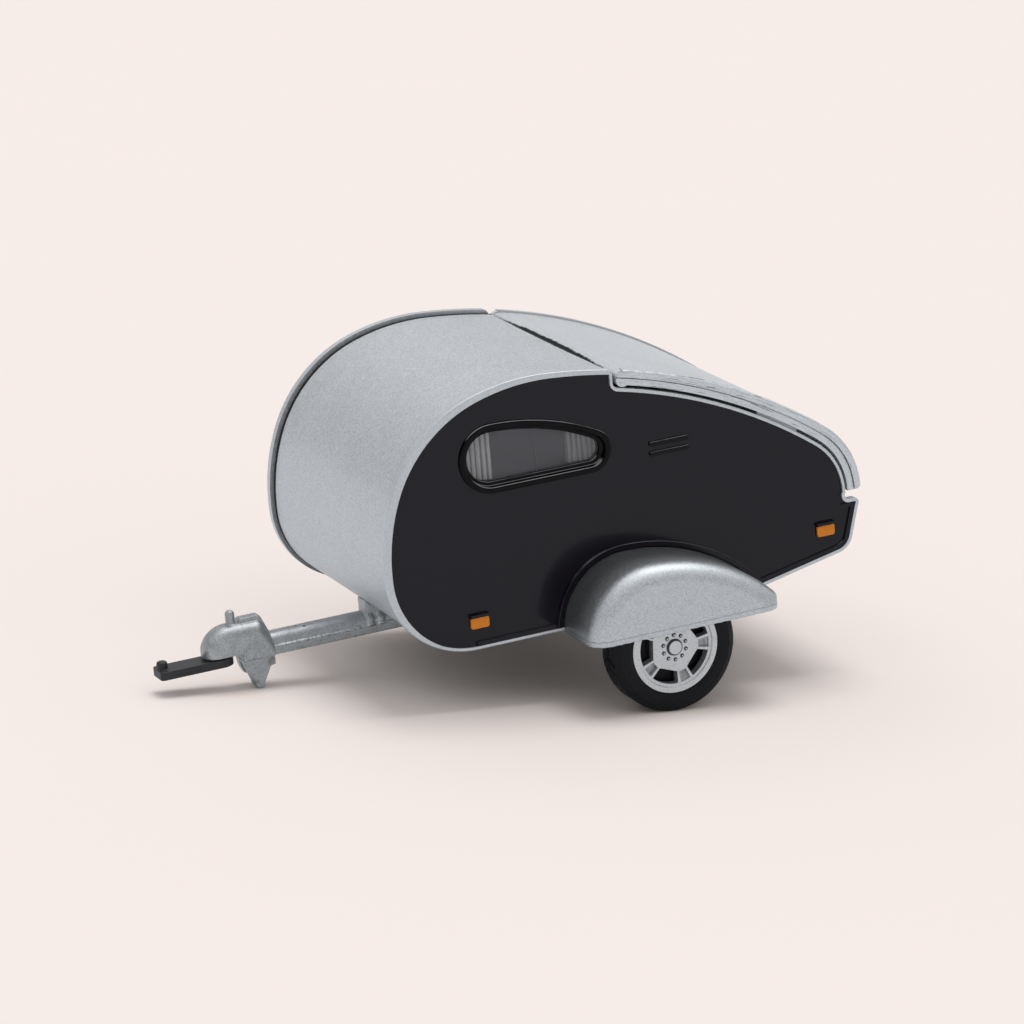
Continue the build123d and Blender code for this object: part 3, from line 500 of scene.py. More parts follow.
@dataclass(frozen=True)
class HatchPaint(FlakePaint):
    """The hatch's paint, streaked along its cut sides, with painted shade at the hinge seam, in the rim's
    groove and inside under the roof, and painted lighter than the wrap's silver for the light on its top.

    The outer skin is an arc over the back and a tighter one at the tail, which meet across a line.
    """

    name: str = "hatch_paint"
    back_centre: Pair = (25.588, -44.350)
    back_radius: float = 113.5
    tail_centre: Pair = (-31.664, 32.460)
    tail_radius: float = 17.7
    across: Pair = (0.8018, 0.5976)
    # A lighter copy of the wrap's silver: painted light standing in for the brighter reflection on the
    # hatch's top.
    colour: Colour = (0.74, 0.77, 0.795)
    sparkle: float = 0.2
    half_width: float = 28.0
    nose_x: float = 1.2
    nose_y: Pair = (28.6, 28.2)
    rim_y: float = 28.3
    rim_deep: Pair = (0.9, 0.5)
    side_y: float = 29.2
    inside_y: float = 27.7
    inside_x: float = -28.5
    inside_deep: Pair = (2.6, 2.9)
    streak_long: float = 0.11
    streak_thin: float = 2.6

    def marks(self, paint: Shading) -> tuple[Wire | float, Wire | float]:
        """Streaks on the sides, and painted shade at the nose's hinge seam, in the rim's groove and inside
        under the roof.

        Args:
            paint: The paint's tree.

        Returns:
            The share of streaks and painted shade, and the depth of the streaks.
        """
        x, y, z = paint.axes()
        rag = self.ragged(paint)
        over, up = self.tail_centre
        rear = ((x - over) * self.across[0] + (z - up) * self.across[1]).rising(0.3, -0.3)
        back = self.back_radius - paint.reach(x, z, self.back_centre)
        tail = self.tail_radius - paint.reach(x, z, self.tail_centre)
        deep = back * (1 - rear) + tail * rear
        along = {"X": x * self.streak_long, "Y": deep * self.streak_thin, "Z": z * self.streak_long}
        streak = paint.noise(0.7, 3.0, 0.6, paint.node("ShaderNodeCombineXYZ", sockets=along))
        side = abs(y).rising(self.side_y - 0.2, self.side_y + 0.2)
        scratches = (streak.rising(0.56, 0.7) * 0.5 + (0.5 - streak) * 0.35).at_least(0.0) * side * 1.7
        # Painted shade in the hinge seam at the nose, narrower towards both ends.
        ends = (y / self.half_width) * (y / self.half_width)
        nose = (x + rag * 0.7 - ends).rising(self.nose_x - 0.2, self.nose_x + 0.2)
        nose = nose * abs(y).rising(*self.nose_y)
        # Painted shadow inside the liner under the roof, ending in a straight line towards the tail.
        inside = abs(y).rising(self.inside_y + 0.1, self.inside_y - 0.1) * deep.rising(*self.inside_deep)
        inside = inside * (x + rag * 0.3).rising(self.inside_x - 0.4, self.inside_x + 0.4)
        # Painted shade in the groove beside the rim bead on top.
        groove = abs(y).line(self.rim_y, 0.16) * (deep.rising(*self.rim_deep) * (1 - side)) * 0.4
        return scratches.at_least(nose * 0.97).at_least(inside * 0.9).at_least(groove), 0 - scratches * 4


@dataclass(frozen=True)
class FenderPaint(FlakePaint):
    """The fenders' paint, with a hem pressed along the foot, painted shade in the hem's crease and a painted
    dark reflection of the black panel, strongest near the body.
    """

    name: str = "fender_paint"
    colour: Colour = (0.62, 0.648, 0.67)
    flake: float = 0.2
    sparkle: float = 0.34
    roughness: float = 0.44
    metallic: float = 0.86
    relief: float = 0.003
    hem_z: float = 17.5
    hem_half: float = 0.12
    hem_grain: float = 1.5
    # The painted dark reflection of the black panel on the fender: its strength, its reach across y and its
    # grain.
    painted_reflection: float = 0.6
    painted_reflection_y: Pair = (43.0, 34.0)
    painted_reflection_grain: float = 0.4

    def marks(self, paint: Shading) -> tuple[Wire | float, Wire | float]:
        """The hem's line, dark as painted shade in its crease, and its raised lip.

        Args:
            paint: The paint's tree.

        Returns:
            The share of painted shade, and the lip's height over the line.
        """
        height = paint.axes()[2] + (paint.noise(self.hem_grain) - 0.5) * 0.12
        # Painted shade: a dark line in the crease above the hem, which the bump also sinks.
        line = height.line(self.hem_z, self.hem_half)
        lip = height.rising(self.hem_z + 0.05, self.hem_z - 0.25)
        return line * 0.3, lip * 13 - line * 20

    def painted_reflection_share(self, paint: Shading) -> Wire | float:
        """Painted dark reflection of the black panel, strongest near the body."""
        # Painted reflection: the fender darkens towards the body as if mirroring the black panel.
        rag = paint.noise(self.painted_reflection_grain) - 0.5
        return (abs(paint.axes()[1]) + rag * 4).rising(*self.painted_reflection_y) * self.painted_reflection


@dataclass(frozen=True)
class GlossBlack:
    """Black paint or gasket with a little orange peel and lint, and a painted highlight on its upward-sloping
    rounded edges.
    """

    name: str
    colour: Colour = (0.0050, 0.0034, 0.0082)
    roughness: float = 0.13
    gloss: float = 0.3
    peel: float = 0.004
    painted_highlight: float = 0.4
    highlight_rise: float = 0.74
    highlight_half: float = 0.24
    pale_tone: Colour = (0.30, 0.30, 0.31)
    haze_grain: float = 7.0
    peel_grain: float = 0.9
    fine_grain: float = 0.35
    lint_cells: Pair = (4.6, 0.07)

    def material(self) -> Material:
        """Mix the black.

        Returns:
            The material.
        """
        black = Shading.of(self.name)
        haze = black.noise(self.haze_grain, 4.0, 0.6)
        ripple = black.noise(self.peel_grain, 1.0)
        grain = black.noise(self.fine_grain)
        lint = black.dots(*self.lint_cells)
        # Painted highlight: faces whose normal slopes up at about this angle are lightened, broken up by the
        # haze.
        rise = black.axes(black.node("ShaderNodeTexCoord", output="Normal"))[2]
        edge = rise.line(self.highlight_rise, self.highlight_half) * haze.rising(0.2, 0.6) * self.painted_highlight
        pale = (lint * 0.3 + (grain - 0.5) * 0.014 + (haze - 0.5) * 0.01 + edge).at_least(0.0)
        return black.surface({
            "Base Color": black.blend(pale, self.colour, self.pale_tone),
            "Roughness": self.roughness + (haze - 0.5) * 0.06 + lint * 0.3,
            "Specular IOR Level": self.gloss,
            "Normal": black.bump(ripple, self.peel),
        })


@dataclass(frozen=True)
class ClearPane:
    """Clear moulded window pane, a little hazy."""

    name: str = "clear_pane"
    colour: Colour = (0.235, 0.236, 0.256)
    alpha: float = 0.27
    roughness: float = 0.1
    haze_grain: float = 5.0
    ripple_grain: float = 3.0
    relief: float = 0.008

    def material(self) -> Material:
        """Mould the pane.

        Returns:
            The material.
        """
        pane = Shading.of(self.name)
        haze = pane.noise(self.haze_grain, 3.0)
        return pane.surface({
            "Base Color": pane.blend(haze, self.colour, shaded(self.colour, 1.25)),
            "Roughness": self.roughness + haze * 0.08,
            "Alpha": self.alpha + (haze - 0.5) * 0.08,
            "Specular IOR Level": 0.6,
            "Normal": pane.bump(pane.noise(self.ripple_grain, 1.0), self.relief),
        })


@dataclass(frozen=True)
class PleatedCurtain:
    """Pale moulded curtain behind the pane, with painted shade in its folds and over the whole rear curtain.
    """

    name: str = "pleated_curtain"
    colour: Colour = (0.86, 0.86, 0.84)
    shade: Colour = (0.16, 0.16, 0.16)
    pleat: float = 1.1
    front_x: float = 31.3
    rear_x: float = 8.8
    between_x: Pair = (19.0, 21.0)
    rear_shade: float = 0.42
    sway_grain: float = 1.4
    thread_grain: float = 0.3
    relief: float = 0.03

    def material(self) -> Material:
        """Colour the curtain.

        Returns:
            The material.
        """
        cloth = Shading.of(self.name)
        x = cloth.axes()[0]
        sway = (cloth.noise(self.sway_grain, 1.0, place=cloth.stretched((1.0, 1.0, 0.06))) - 0.5) * 0.7
        front = x.rising(*self.between_x)
        middle = x - (self.rear_x + front * (self.front_x - self.rear_x)) + sway
        fold = middle.off(self.pleat).rising(self.pleat * 0.22, self.pleat * 0.46)
        threads = cloth.noise(self.thread_grain, place=cloth.stretched((1.0, 1.0, 0.12)))
        # Painted shade: dark in each fold, and the rear curtain darker throughout as if in the frame's
        # shadow.
        lit = (1 - fold * 0.7) * (self.rear_shade + front * (1 - self.rear_shade))
        return cloth.surface({
            "Base Color": cloth.blend(1 - lit + (threads - 0.5) * 0.3, self.colour, self.shade),
            "Roughness": 0.85,
            "Normal": cloth.bump(threads - fold, self.relief),
        })


@dataclass(frozen=True)
class LampLens:
    """Translucent coloured paint over a moulded lamp."""

    name: str
    colour: Colour
    deep: Colour
    pool_grain: float = 1.6
    flute_grain: float = 0.35
    relief: float = 0.03

    def material(self) -> Material:
        """Paint the lamp.

        Returns:
            The material.
        """
        lens = Shading.of(self.name)
        pool = lens.noise(self.pool_grain)
        flutes = lens.noise(self.flute_grain, 1.0, place=lens.stretched((1.0, 1.0, 0.2)))
        return lens.surface({
            "Base Color": lens.blend(pool * 0.7 + flutes * 0.3, self.deep, self.colour),
            "Roughness": 0.3 + pool * 0.16,
            "Specular IOR Level": 0.3,
            "Coat Weight": 0.08,
            "Coat Roughness": 0.15,
            "Normal": lens.bump(flutes * 0.5 + pool * 0.5, self.relief),
        })


@dataclass(frozen=True)
class CastMetal:
    """Thinly painted zinc casting with grain, parting lines, stains and bright wear where the hook bears, a
    painted highlight along the drawbar's ledge and painted shade in two pits.
    """

    name: str = "painted_casting"
    colour: Colour = (0.66, 0.684, 0.70)
    dark: Colour = (0.10, 0.104, 0.108)
    rub: Colour = (0.13, 0.115, 0.085)
    pencil: Colour = (0.04, 0.04, 0.042)
    metallic: float = 0.88
    roughness: float = 0.36
    relief: float = 0.04
    grain: float = 0.15
    blotch_grain: float = 2.4
    wear_grain: float = 0.8
    coupler_x: float = 67.0
    seam_z: float = 15.05
    seam_x: Pair = (76.0, 75.0)
    ledge_z: float = 16.85
    dome_seam_x: float = 73.6
    dome_z: Pair = (15.0, 15.4)
    pits: tuple[Pair, ...] = ((60.4, 0.9), (61.9, 0.2))
    pit_edge: Pair = (0.4, 0.17)
    pit_z: Pair = (17.5, 18.0)
    lip_x: Pair = (79.2, 81.4)
    lip_z: Pair = (16.6, 15.4)
    stain_z: Pair = (17.6, 14.4)

    def material(self) -> Material:
        """Cast the surface.

        Returns:
            The material.
        """
        cast = Shading.of(self.name)
        x, y, z = cast.axes()
        grit = cast.noise(self.grain, 3.0, 0.7)
        flakes = cast.specks(self.grain)
        blotch = cast.noise(self.blotch_grain, 3.0, 0.6)
        broken = cast.noise(self.wear_grain).rising(0.36, 0.6)
        coupler = x.rising(self.coupler_x - 0.4, self.coupler_x + 0.4)
        seam = z.line(self.seam_z, 0.12) * coupler * broken * x.rising(*self.seam_x)
        dome = x.line(self.dome_seam_x, 0.13) * coupler * broken * z.rising(*self.dome_z)
        # Painted highlight: a broken pale line along the drawbar's ledge; where it breaks, a dark line is
        # painted just under it.
        ledge_highlight = z.line(self.ledge_z, 0.22) * (1 - coupler) * broken
        under = z.line(self.ledge_z - 0.3, 0.16) * (1 - coupler) * (1 - broken)
        # Painted shade in the two pits, with a bump dip.
        hollow = 0.0
        for pit in self.pits:
            hollow = cast.reach(x, y, pit).rising(*self.pit_edge) * z.rising(*self.pit_z) + hollow
        lip = x.rising(*self.lip_x) * z.rising(*self.lip_z) * broken
        stain = blotch.rising(0.5, 0.68) * z.rising(*self.stain_z) * 0.6
        tone = 0.6 + (grit - 0.5) * 0.7 + (flakes - 0.5) * 0.34 + (blotch - 0.5) * 0.5
        plain = cast.blend(tone + ledge_highlight * 0.9 + lip * 0.7, self.dark, self.colour)
        lines = (seam * 0.7 + dome * 0.3 + hollow * 0.95 + under * 0.6).at_most(1.0)
        height = grit * 0.9 + blotch * 0.5 - seam * 1.4 - dome * 0.8 - hollow * 2.5 + ledge_highlight * 0.8
        return cast.surface({
            "Base Color": cast.blend(lines, cast.blend(stain, plain, self.rub), self.pencil),
            "Metallic": self.metallic - stain * 0.5,
            "Roughness": self.roughness + (grit - 0.5) * 0.3 - lip * 0.16 - ledge_highlight * 0.12,
            "Normal": cast.bump(height, self.relief),
        })


@dataclass(frozen=True)
class WheelSilver:
    """Satin plated wheel with painted shade in its low places, over faint random dark clouds."""

    name: str = "wheel_silver"
    colour: Colour = (0.79, 0.806, 0.82)
    dirt_and_shade_colour: Colour = (0.02, 0.02, 0.021)
    cap_ring: float = 1.52
    cap_half: float = 0.28
    sunk_deep: Pair = (0.3, 0.75)
    sunk_radius: Pair = (7.3, 6.9)
    fine_grain: float = 0.2
    cloud_grain: float = 1.3
    relief: float = 0.02

    def material(self) -> Material:
        """Plate the wheel.

        Returns:
            The material.
        """
        plate = Shading.of(self.name)
        x, y, z = plate.axes()
        hub = (0.0, LEVEL.tyre_radius)
        radius = plate.reach(x, z, hub)
        turn = plate.node("ShaderNodeMath", {"operation": "ARCTAN2"}, {0: z - hub[1], 1: x})
        beside = (turn + LUGS.pitch() / 2).off(LUGS.pitch()) * LUGS.ring
        away = radius - LUGS.ring
        lug = (beside * beside + away * away).root()
        grit = plate.noise(self.fine_grain, 3.0, 0.7)
        cloud = plate.noise(self.cloud_grain, 3.0)
        # Painted shade: dark wells round each lug stud, a dark ring round the centre cap and darkening deep
        # inside the rim's outer part.
        wells = lug.rising(LUGS.radius + 0.26, LUGS.radius + 0.1)
        wells = wells * lug.rising(LUGS.radius - 0.12, LUGS.radius)
        ring = radius.line(self.cap_ring, self.cap_half)
        sunk = (LUGS.disc_y - abs(y)).rising(*self.sunk_deep) * radius.rising(*self.sunk_radius)
        grime_and_shade = cloud.rising(0.55, 0.8) * 0.16 + sunk * (0.4 + (cloud - 0.5) * 0.8)
        dirt_and_shade = (wells * 0.95).at_least(ring * 0.9).at_least(grime_and_shade).at_most(1.0)
        metal = plate.blend(0.5 + (grit - 0.5) * 1.6, shaded(self.colour, 0.66), self.colour)
        return plate.surface({
            "Base Color": plate.blend(dirt_and_shade, metal, self.dirt_and_shade_colour),
            "Metallic": 0.75 - dirt_and_shade * 0.5,
            "Roughness": 0.3 + (grit - 0.5) * 0.3 + dirt_and_shade * 0.3,
            "Normal": plate.bump(grit - dirt_and_shade, self.relief),
        })


@dataclass(frozen=True)
class TyreRubber:
    """Moulded rubber, near black, with a dull bloom."""

    name: str = "tyre_rubber"
    colour: Colour = (0.0036, 0.0036, 0.0052)
    bloom: Colour = (0.016, 0.016, 0.020)
    fine_grain: float = 0.16
    bloom_grain: float = 1.8
    lint_cells: Pair = (1.9, 0.07)
    relief: float = 0.016

    def material(self) -> Material:
        """Mould the rubber.

        Returns:
            The material.
        """
        rubber = Shading.of(self.name)
        grain = rubber.noise(self.fine_grain, 3.0, 0.7)
        bloom = rubber.noise(self.bloom_grain, 3.0)
        lint = rubber.dots(*self.lint_cells)
        pale = bloom.rising(0.45, 0.85) * 0.4 + (grain - 0.5) * 0.3 + lint
        return rubber.surface({
            "Base Color": rubber.blend(pale.at_least(0.0).at_most(1.0), self.colour, self.bloom),
            "Roughness": 0.42 + (bloom - 0.5) * 0.3,
            "Specular IOR Level": 0.2,
            "Normal": rubber.bump(grain, self.relief),
        })


@dataclass(frozen=True)
class DrawnSteel:
    """Plain drawn wire with fine lengthwise scratches."""

    name: str = "drawn_steel"
    colour: Colour = (0.52, 0.52, 0.53)
    grain: float = 0.1
    relief: float = 0.01

    def material(self) -> Material:
        """Draw the wire.

        Returns:
            The material.
        """
        steel = Shading.of(self.name)
        streak = steel.noise(self.grain, place=steel.stretched((1.0, 0.04, 1.0)))
        return steel.surface({
            "Base Color": steel.blend(streak, shaded(self.colour, 0.6), self.colour),
            "Metallic": 1.0,
            "Roughness": 0.22 + streak * 0.25,
            "Normal": steel.bump(streak, self.relief),
        })


@dataclass(frozen=True)
class MouldedPlastic:
    """Satin or matt moulded plastic with a fine grain."""

    name: str
    colour: Colour
    pale_tone: Colour
    roughness: float = 0.5
    grain: float = 0.3
    cloud_grain: float = 4.0
    relief: float = 0.015

    def material(self) -> Material:
        """Mould the plastic.

        Returns:
            The material.
        """
        plastic = Shading.of(self.name)
        grain = plastic.noise(self.grain, 3.0, 0.6)
        cloud = plastic.noise(self.cloud_grain, 3.0)
        return plastic.surface({
            "Base Color": plastic.blend((cloud - 0.35) * 0.5 + (grain - 0.5) * 0.5, self.colour, self.pale_tone),
            "Roughness": self.roughness + (grain - 0.5) * 0.25 + (cloud - 0.5) * 0.15,
            "Specular IOR Level": 0.4,
            "Normal": plastic.bump(grain, self.relief),
        })


JET: Colour = (0.0010, 0.0010, 0.0014)


class Finish(Enum):
    """The trailer's finishes, each mixed once."""

    SILVER = FlakePaint()
    WRAP = WrapPaint()
    BEAD = BeadPaint()
    HATCH = HatchPaint()
    FENDER = FenderPaint()
    PANEL = GlossBlack("panel_black")
    # The gasket and the vent get stronger painted highlights on their upper edges than the panel.
    GASKET = GlossBlack("gasket_black", JET, roughness=0.1, gloss=0.14, peel=0.001, painted_highlight=1.0)
    VENT = GlossBlack(
        "vent_black", JET, roughness=0.1, gloss=0.2, peel=0.001, painted_highlight=0.8, highlight_rise=0.85, highlight_half=0.45,
    )
    PANE = ClearPane()
    CURTAIN = PleatedCurtain()
    AMBER = LampLens("amber_lens", colour=(0.88, 0.29, 0.010), deep=(0.68, 0.19, 0.005))
    RED = LampLens("red_lens", colour=(0.50, 0.022, 0.016), deep=(0.30, 0.010, 0.008))
    CASTING = CastMetal()
    WHEEL = WheelSilver()
    RUBBER = TyreRubber()
    STEEL = DrawnSteel()
    BASE = MouldedPlastic("base_plastic", (0.009, 0.009, 0.010), (0.026, 0.026, 0.027), roughness=0.55)
    HOOK = MouldedPlastic(
        "hook_plastic", (0.020, 0.020, 0.022), (0.085, 0.085, 0.09), roughness=0.42, grain=0.2,
    )
    GALLEY = MouldedPlastic(
        "galley_plastic", (0.17, 0.155, 0.145), (0.25, 0.232, 0.22), roughness=0.6, grain=0.4,
    )

    @cache
    def material(self) -> Material:
        """The finish's material, mixed when it is first asked for."""
        return self.value.material()


class Bench:
    """Modelling steps that the pieces share, and the angles in degrees at which edges count as sharp."""

    MERGE: float = 1e-6
    FLAT: float = 0.4
    SHARP: float = 35.0
    CREASE: float = 32.0
    CREST_NEAR: float = 0.02

    @staticmethod
    def deselect() -> None:
        """Leave edit mode and select nothing."""
        if bpy.context.object is not None and bpy.context.object.mode != "OBJECT":
            bpy.ops.object.mode_set(mode="OBJECT")
        bpy.ops.object.select_all(action="DESELECT")

    @staticmethod
    def take(piece: Piece) -> Piece:
        """Select this piece alone and make it active.

        Args:
            piece: The piece.

        Returns:
            The same piece.
        """
        Bench.deselect()
        piece.select_set(True)
        bpy.context.view_layer.objects.active = piece
        return piece

    @staticmethod
    def named(name: str) -> Piece:
        """Name the new primitive and set its place into its mesh.

        Args:
            name: The piece's name.

        Returns:
            The piece, at the origin.
        """
        piece = bpy.context.object
        piece.name = name
        piece.data.name = name
        Bench.settle(piece)
        return piece

    @staticmethod
    def settle(piece: Piece) -> None:
        """Set the piece's place, turn and scale into its mesh."""
        Bench.take(piece)
        bpy.ops.object.transform_apply(location=True, rotation=True, scale=True)

    @staticmethod
    def edit(piece: Piece, faces: Callable[[bpy.types.MeshPolygon], bool] | None = None) -> None:
        """Go into edit mode with some faces selected.

        Args:
            piece: The piece.
            faces: The test that picks them, or None for all.
        """
        Bench.take(piece)
        bpy.ops.object.mode_set(mode="EDIT")
        bpy.ops.mesh.select_mode(type="FACE")
        bpy.ops.mesh.select_all(action="DESELECT")
        bpy.ops.object.mode_set(mode="OBJECT")
        for face in piece.data.polygons:
            face.select = faces is None or faces(face)
        bpy.ops.object.mode_set(mode="EDIT")

    @staticmethod
    def modify(piece: Piece, kind: str, settings: dict[str, Any]) -> None:
        """Add a modifier and apply it.

        Args:
            piece: The piece.
            kind: The modifier's type.
            settings: Its values.
        """
        Bench.take(piece)
        modifier = piece.modifiers.new(kind.lower(), kind)
        for key, value in settings.items():
            setattr(modifier, key, value)
        bpy.ops.object.modifier_apply(modifier=modifier.name)

    @staticmethod
    def smooth(piece: Piece, angle: float = SHARP) -> None:
        """Shade smooth up to this angle between faces, in degrees."""
        Bench.take(piece)
        bpy.ops.object.shade_smooth_by_angle(angle=math.radians(angle), keep_sharp_edges=False)

    @staticmethod
    def join(parts: list[Piece], name: str) -> Piece:
        """Join parts into one piece.

        Args:
            parts: The parts.
            name: The joined piece's name.

        Returns:
            The piece.
        """
        Bench.deselect()
        for part in parts:
            part.select_set(True)
        bpy.context.view_layer.objects.active = parts[0]
        bpy.ops.object.join()
        parts[0].name = name
        parts[0].data.name = name
        return parts[0]

    @staticmethod
    def repeat(part: Piece, places: Iterable[Matrix]) -> list[Piece]:
        """Copy a part, each copy with its own mesh.

        Args:
            part: The part, which is removed afterwards.
            places: Where each copy goes.

        Returns:
            The copies.
        """
        copies = []
        for place in places:
            copy = part.copy()
            copy.data = part.data.copy()
            copy.matrix_world = place @ part.matrix_world
            bpy.context.collection.objects.link(copy)
            Bench.settle(copy)
            copies.append(copy)
        bpy.data.objects.remove(part)
        return copies

    @staticmethod
    def ring(name: str, profile: list[tuple[float, float, float]], steps: int) -> Piece:
        """Turn a closed profile about the axle line by drawing out a circle.

        Args:
            name: The piece's name.
            profile: Each corner's y and radius in millimetres, and its turn about the axle in radians.
            steps: The circle's vertices.

        Returns:
            The closed turned piece.
        """
        Bench.deselect()
        first_y, first_radius, _ = profile[0]
        bpy.ops.mesh.primitive_circle_add(
            vertices=steps, radius=first_radius * MM, fill_type="NOTHING",
            location=(LEVEL.axle.x, first_y * MM, LEVEL.axle.z), rotation=(math.pi / 2, 0, 0),
        )
        piece = Bench.named(name)
        Bench.take(piece)
        bpy.ops.object.mode_set(mode="EDIT")
        bpy.ops.mesh.select_mode(type="EDGE")
        bpy.ops.mesh.select_all(action="SELECT")
        for (y, radius, turn), (last_y, last_radius, last_turn) in zip(profile[1:], profile):
            bpy.ops.mesh.extrude_edges_move(TRANSFORM_OT_translate={"value": (0, (y - last_y) * MM, 0)})
            grow, centre = radius / last_radius, (LEVEL.axle.x, y * MM, LEVEL.axle.z)
            bpy.ops.transform.resize(value=(grow, 1, grow), center_override=centre)
            if turn != last_turn:
                bpy.ops.transform.rotate(value=turn - last_turn, orient_axis="Y", center_override=centre)
        bpy.ops.mesh.select_all(action="DESELECT")
        bpy.ops.mesh.select_non_manifold()
        bpy.ops.mesh.bridge_edge_loops()
        Bench.face_out(piece)
        return piece

    @staticmethod
    def face_out(piece: Piece) -> None:
        """Merge doubles and turn every face outwards.

        Args:
            piece: The piece.
        """
        Bench.edit(piece)
        bpy.ops.mesh.remove_doubles(threshold=Bench.MERGE)
        bpy.ops.mesh.select_all(action="SELECT")
        bpy.ops.mesh.normals_make_consistent(inside=False)
        bpy.ops.object.mode_set(mode="OBJECT")

    @staticmethod
    def merged_copy(node: str, name: str) -> Piece:
        """A copy of a CAD node's mesh with its doubles merged.

        Args:
            node: The CAD node.
            name: The copy's name.

        Returns:
            The copy, with no material.
        """
        mesh = frame["nodes"][node].data.copy()
        mesh.materials.clear()
        mesh.name = name
        piece = bpy.data.objects.new(name, mesh)
        bpy.context.collection.objects.link(piece)
        Bench.edit(piece)
        bpy.ops.mesh.remove_doubles(threshold=Bench.MERGE)
        bpy.ops.object.mode_set(mode="OBJECT")
        return piece

    @staticmethod
    def cast_copy(node: str, name: str, voxel: float, passes: int) -> Piece:
        """A copy of a solid with the soft edges of a casting.

        Args:
            node: The CAD node.
            name: The copy's name.
            voxel: The remesh size in millimetres.
            passes: Rounds of smoothing.

        Returns:
            The softened copy.
        """
        piece = Bench.merged_copy(node, name)
        Bench.modify(piece, "REMESH", {"mode": "VOXEL", "voxel_size": voxel * MM, "use_smooth_shade": True})
        Bench.modify(piece, "SMOOTH", {"factor": 0.5, "iterations": passes})
        return piece

    @staticmethod
    def rounded_copy(
        node: str, name: str, width: float, segments: int = 2, crest: Pair | None = None,
    ) -> Piece:
        """A copy of a solid with its sharp edges rounded.

        Args:
            node: The CAD node.
            name: The copy's name.
            width: The rounding's width in millimetres.
            segments: Faces across the rounding.
            crest: How far out, in y, a raised lip has its crest, and the wider rounding that the crest gets.

        Returns:
            The rounded copy.
        """
        piece = Bench.merged_copy(node, name)
        Bench.edit(piece)
        bpy.ops.mesh.dissolve_limited(angle_limit=math.radians(Bench.FLAT))
        if crest is not None:
            bpy.ops.mesh.select_mode(type="EDGE")
            bpy.ops.mesh.select_all(action="DESELECT")
            bpy.ops.object.mode_set(mode="OBJECT")
            points = piece.data.vertices
            for edge in piece.data.edges:
                outs = [abs(points[end].co.y) / MM for end in edge.vertices]
                edge.select = all(abs(out - crest[0]) < Bench.CREST_NEAR for out in outs)
            bpy.ops.object.mode_set(mode="EDIT")
            bpy.ops.mesh.bevel(
                offset=crest[1] * MM, segments=segments + 1, affect="EDGES", clamp_overlap=True,
            )
        bpy.ops.object.mode_set(mode="OBJECT")
        Bench.modify(piece, "BEVEL", {
            "width": width * MM, "segments": segments, "use_clamp_overlap": True,
            "limit_method": "ANGLE", "angle_limit": math.radians(Bench.SHARP),
        })
        Bench.smooth(piece, Bench.CREASE)
        Bench.modify(piece, "WEIGHTED_NORMAL", {"mode": "FACE_AREA", "weight": 50, "keep_sharp": True})
        return piece

    @staticmethod
    def mount(
        piece: Piece, rider: Rider, slot: str, finish: Finish, stands_for: tuple[str, ...] = (),
    ) -> None:
        """Dress a piece and set it on its body.

        Args:
            piece: The piece.
            rider: The body that carries it.
            slot: The record's material slot, which is not used.
            finish: Its finish.
            stands_for: The CAD nodes that it replaces.
        """
        piece.data.materials.clear()
        piece.data.materials.append(finish.material())
        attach(piece, rider.value)
        if stands_for:
            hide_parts(*stands_for)
        log.info("piece %s: %d faces on %s", piece.name, len(piece.data.polygons), rider.value)

    @staticmethod
    def dress(node: str, finish: Finish) -> None:
        """Give a CAD node its material.

        Args:
            node: The CAD node.
            finish: Its finish.
        """
        solid, material = frame["nodes"][node], finish.material()
        if not solid.material_slots:
            solid.data.materials.append(material)
        for slot in solid.material_slots:
            slot.material = material
        log.info("node %s: %s", node, material.name)


@dataclass
class Cabin:
    """The body: wrap, panels, beads, windows, lamps, vents, base and galley."""

    panel_edge: float = 0.2
    bead_edge: float = 0.35
    arch_crest: Pair = (30.2, 0.5)
    lamp_edge: float = 0.16
    edge_steps: int = 3
    vent_voxel: float = 0.06
    vent_passes: int = 10
    frame_voxel: float = 0.1
    frame_passes: int = 28

    def build(self) -> None:
        """Round the edges that catch the light, and dress the other solids."""
        for side in Side:
            for piece, name, edge, slot, finish in (
                ("side_panel", "panel_rounded", self.panel_edge, "black_paint", Finish.PANEL),
                ("edge_bead", "bead_rounded", self.bead_edge, "silver_paint", Finish.BEAD),
                ("front_marker", "front_lens", self.lamp_edge, "amber_lens", Finish.AMBER),
                ("rear_marker", "rear_lens", self.lamp_edge, "amber_lens", Finish.AMBER),
                ("tail_lamp", "tail_lens", self.lamp_edge, "red_lens", Finish.RED),
            ):
                node = side.named(piece)
                crest = self.arch_crest if piece == "side_panel" else None
                rounded = Bench.rounded_copy(node, side.named(name), edge, self.edge_steps, crest)
                Bench.mount(rounded, Rider.TRAILER, slot, finish, (node,))
            vent, window = side.named("vent"), side.named("window_frame")
            bars = Bench.cast_copy(vent, side.named("vent_rounded"), self.vent_voxel, self.vent_passes)
            Bench.mount(bars, Rider.TRAILER, "black_paint", Finish.VENT, (vent,))
            gasket = Bench.cast_copy(window, side.named("frame_rounded"), self.frame_voxel, self.frame_passes)
            Bench.mount(gasket, Rider.TRAILER, "black_gloss", Finish.GASKET, (window,))
            Bench.dress(side.named("window_glass"), Finish.PANE)
            Bench.dress(side.named("curtains"), Finish.CURTAIN)
        Bench.dress("front_wrap", Finish.WRAP)
        Bench.dress("rear_panel", Finish.SILVER)
        for node in ("galley_counter", "galley_cabinet", "hinge_beam"):
            Bench.dress(node, Finish.GALLEY)
        for node in ("base_plate", "galley_bulkhead"):
            Bench.dress(node, Finish.BASE)
        Bench.dress("hinge_rod", Finish.STEEL)


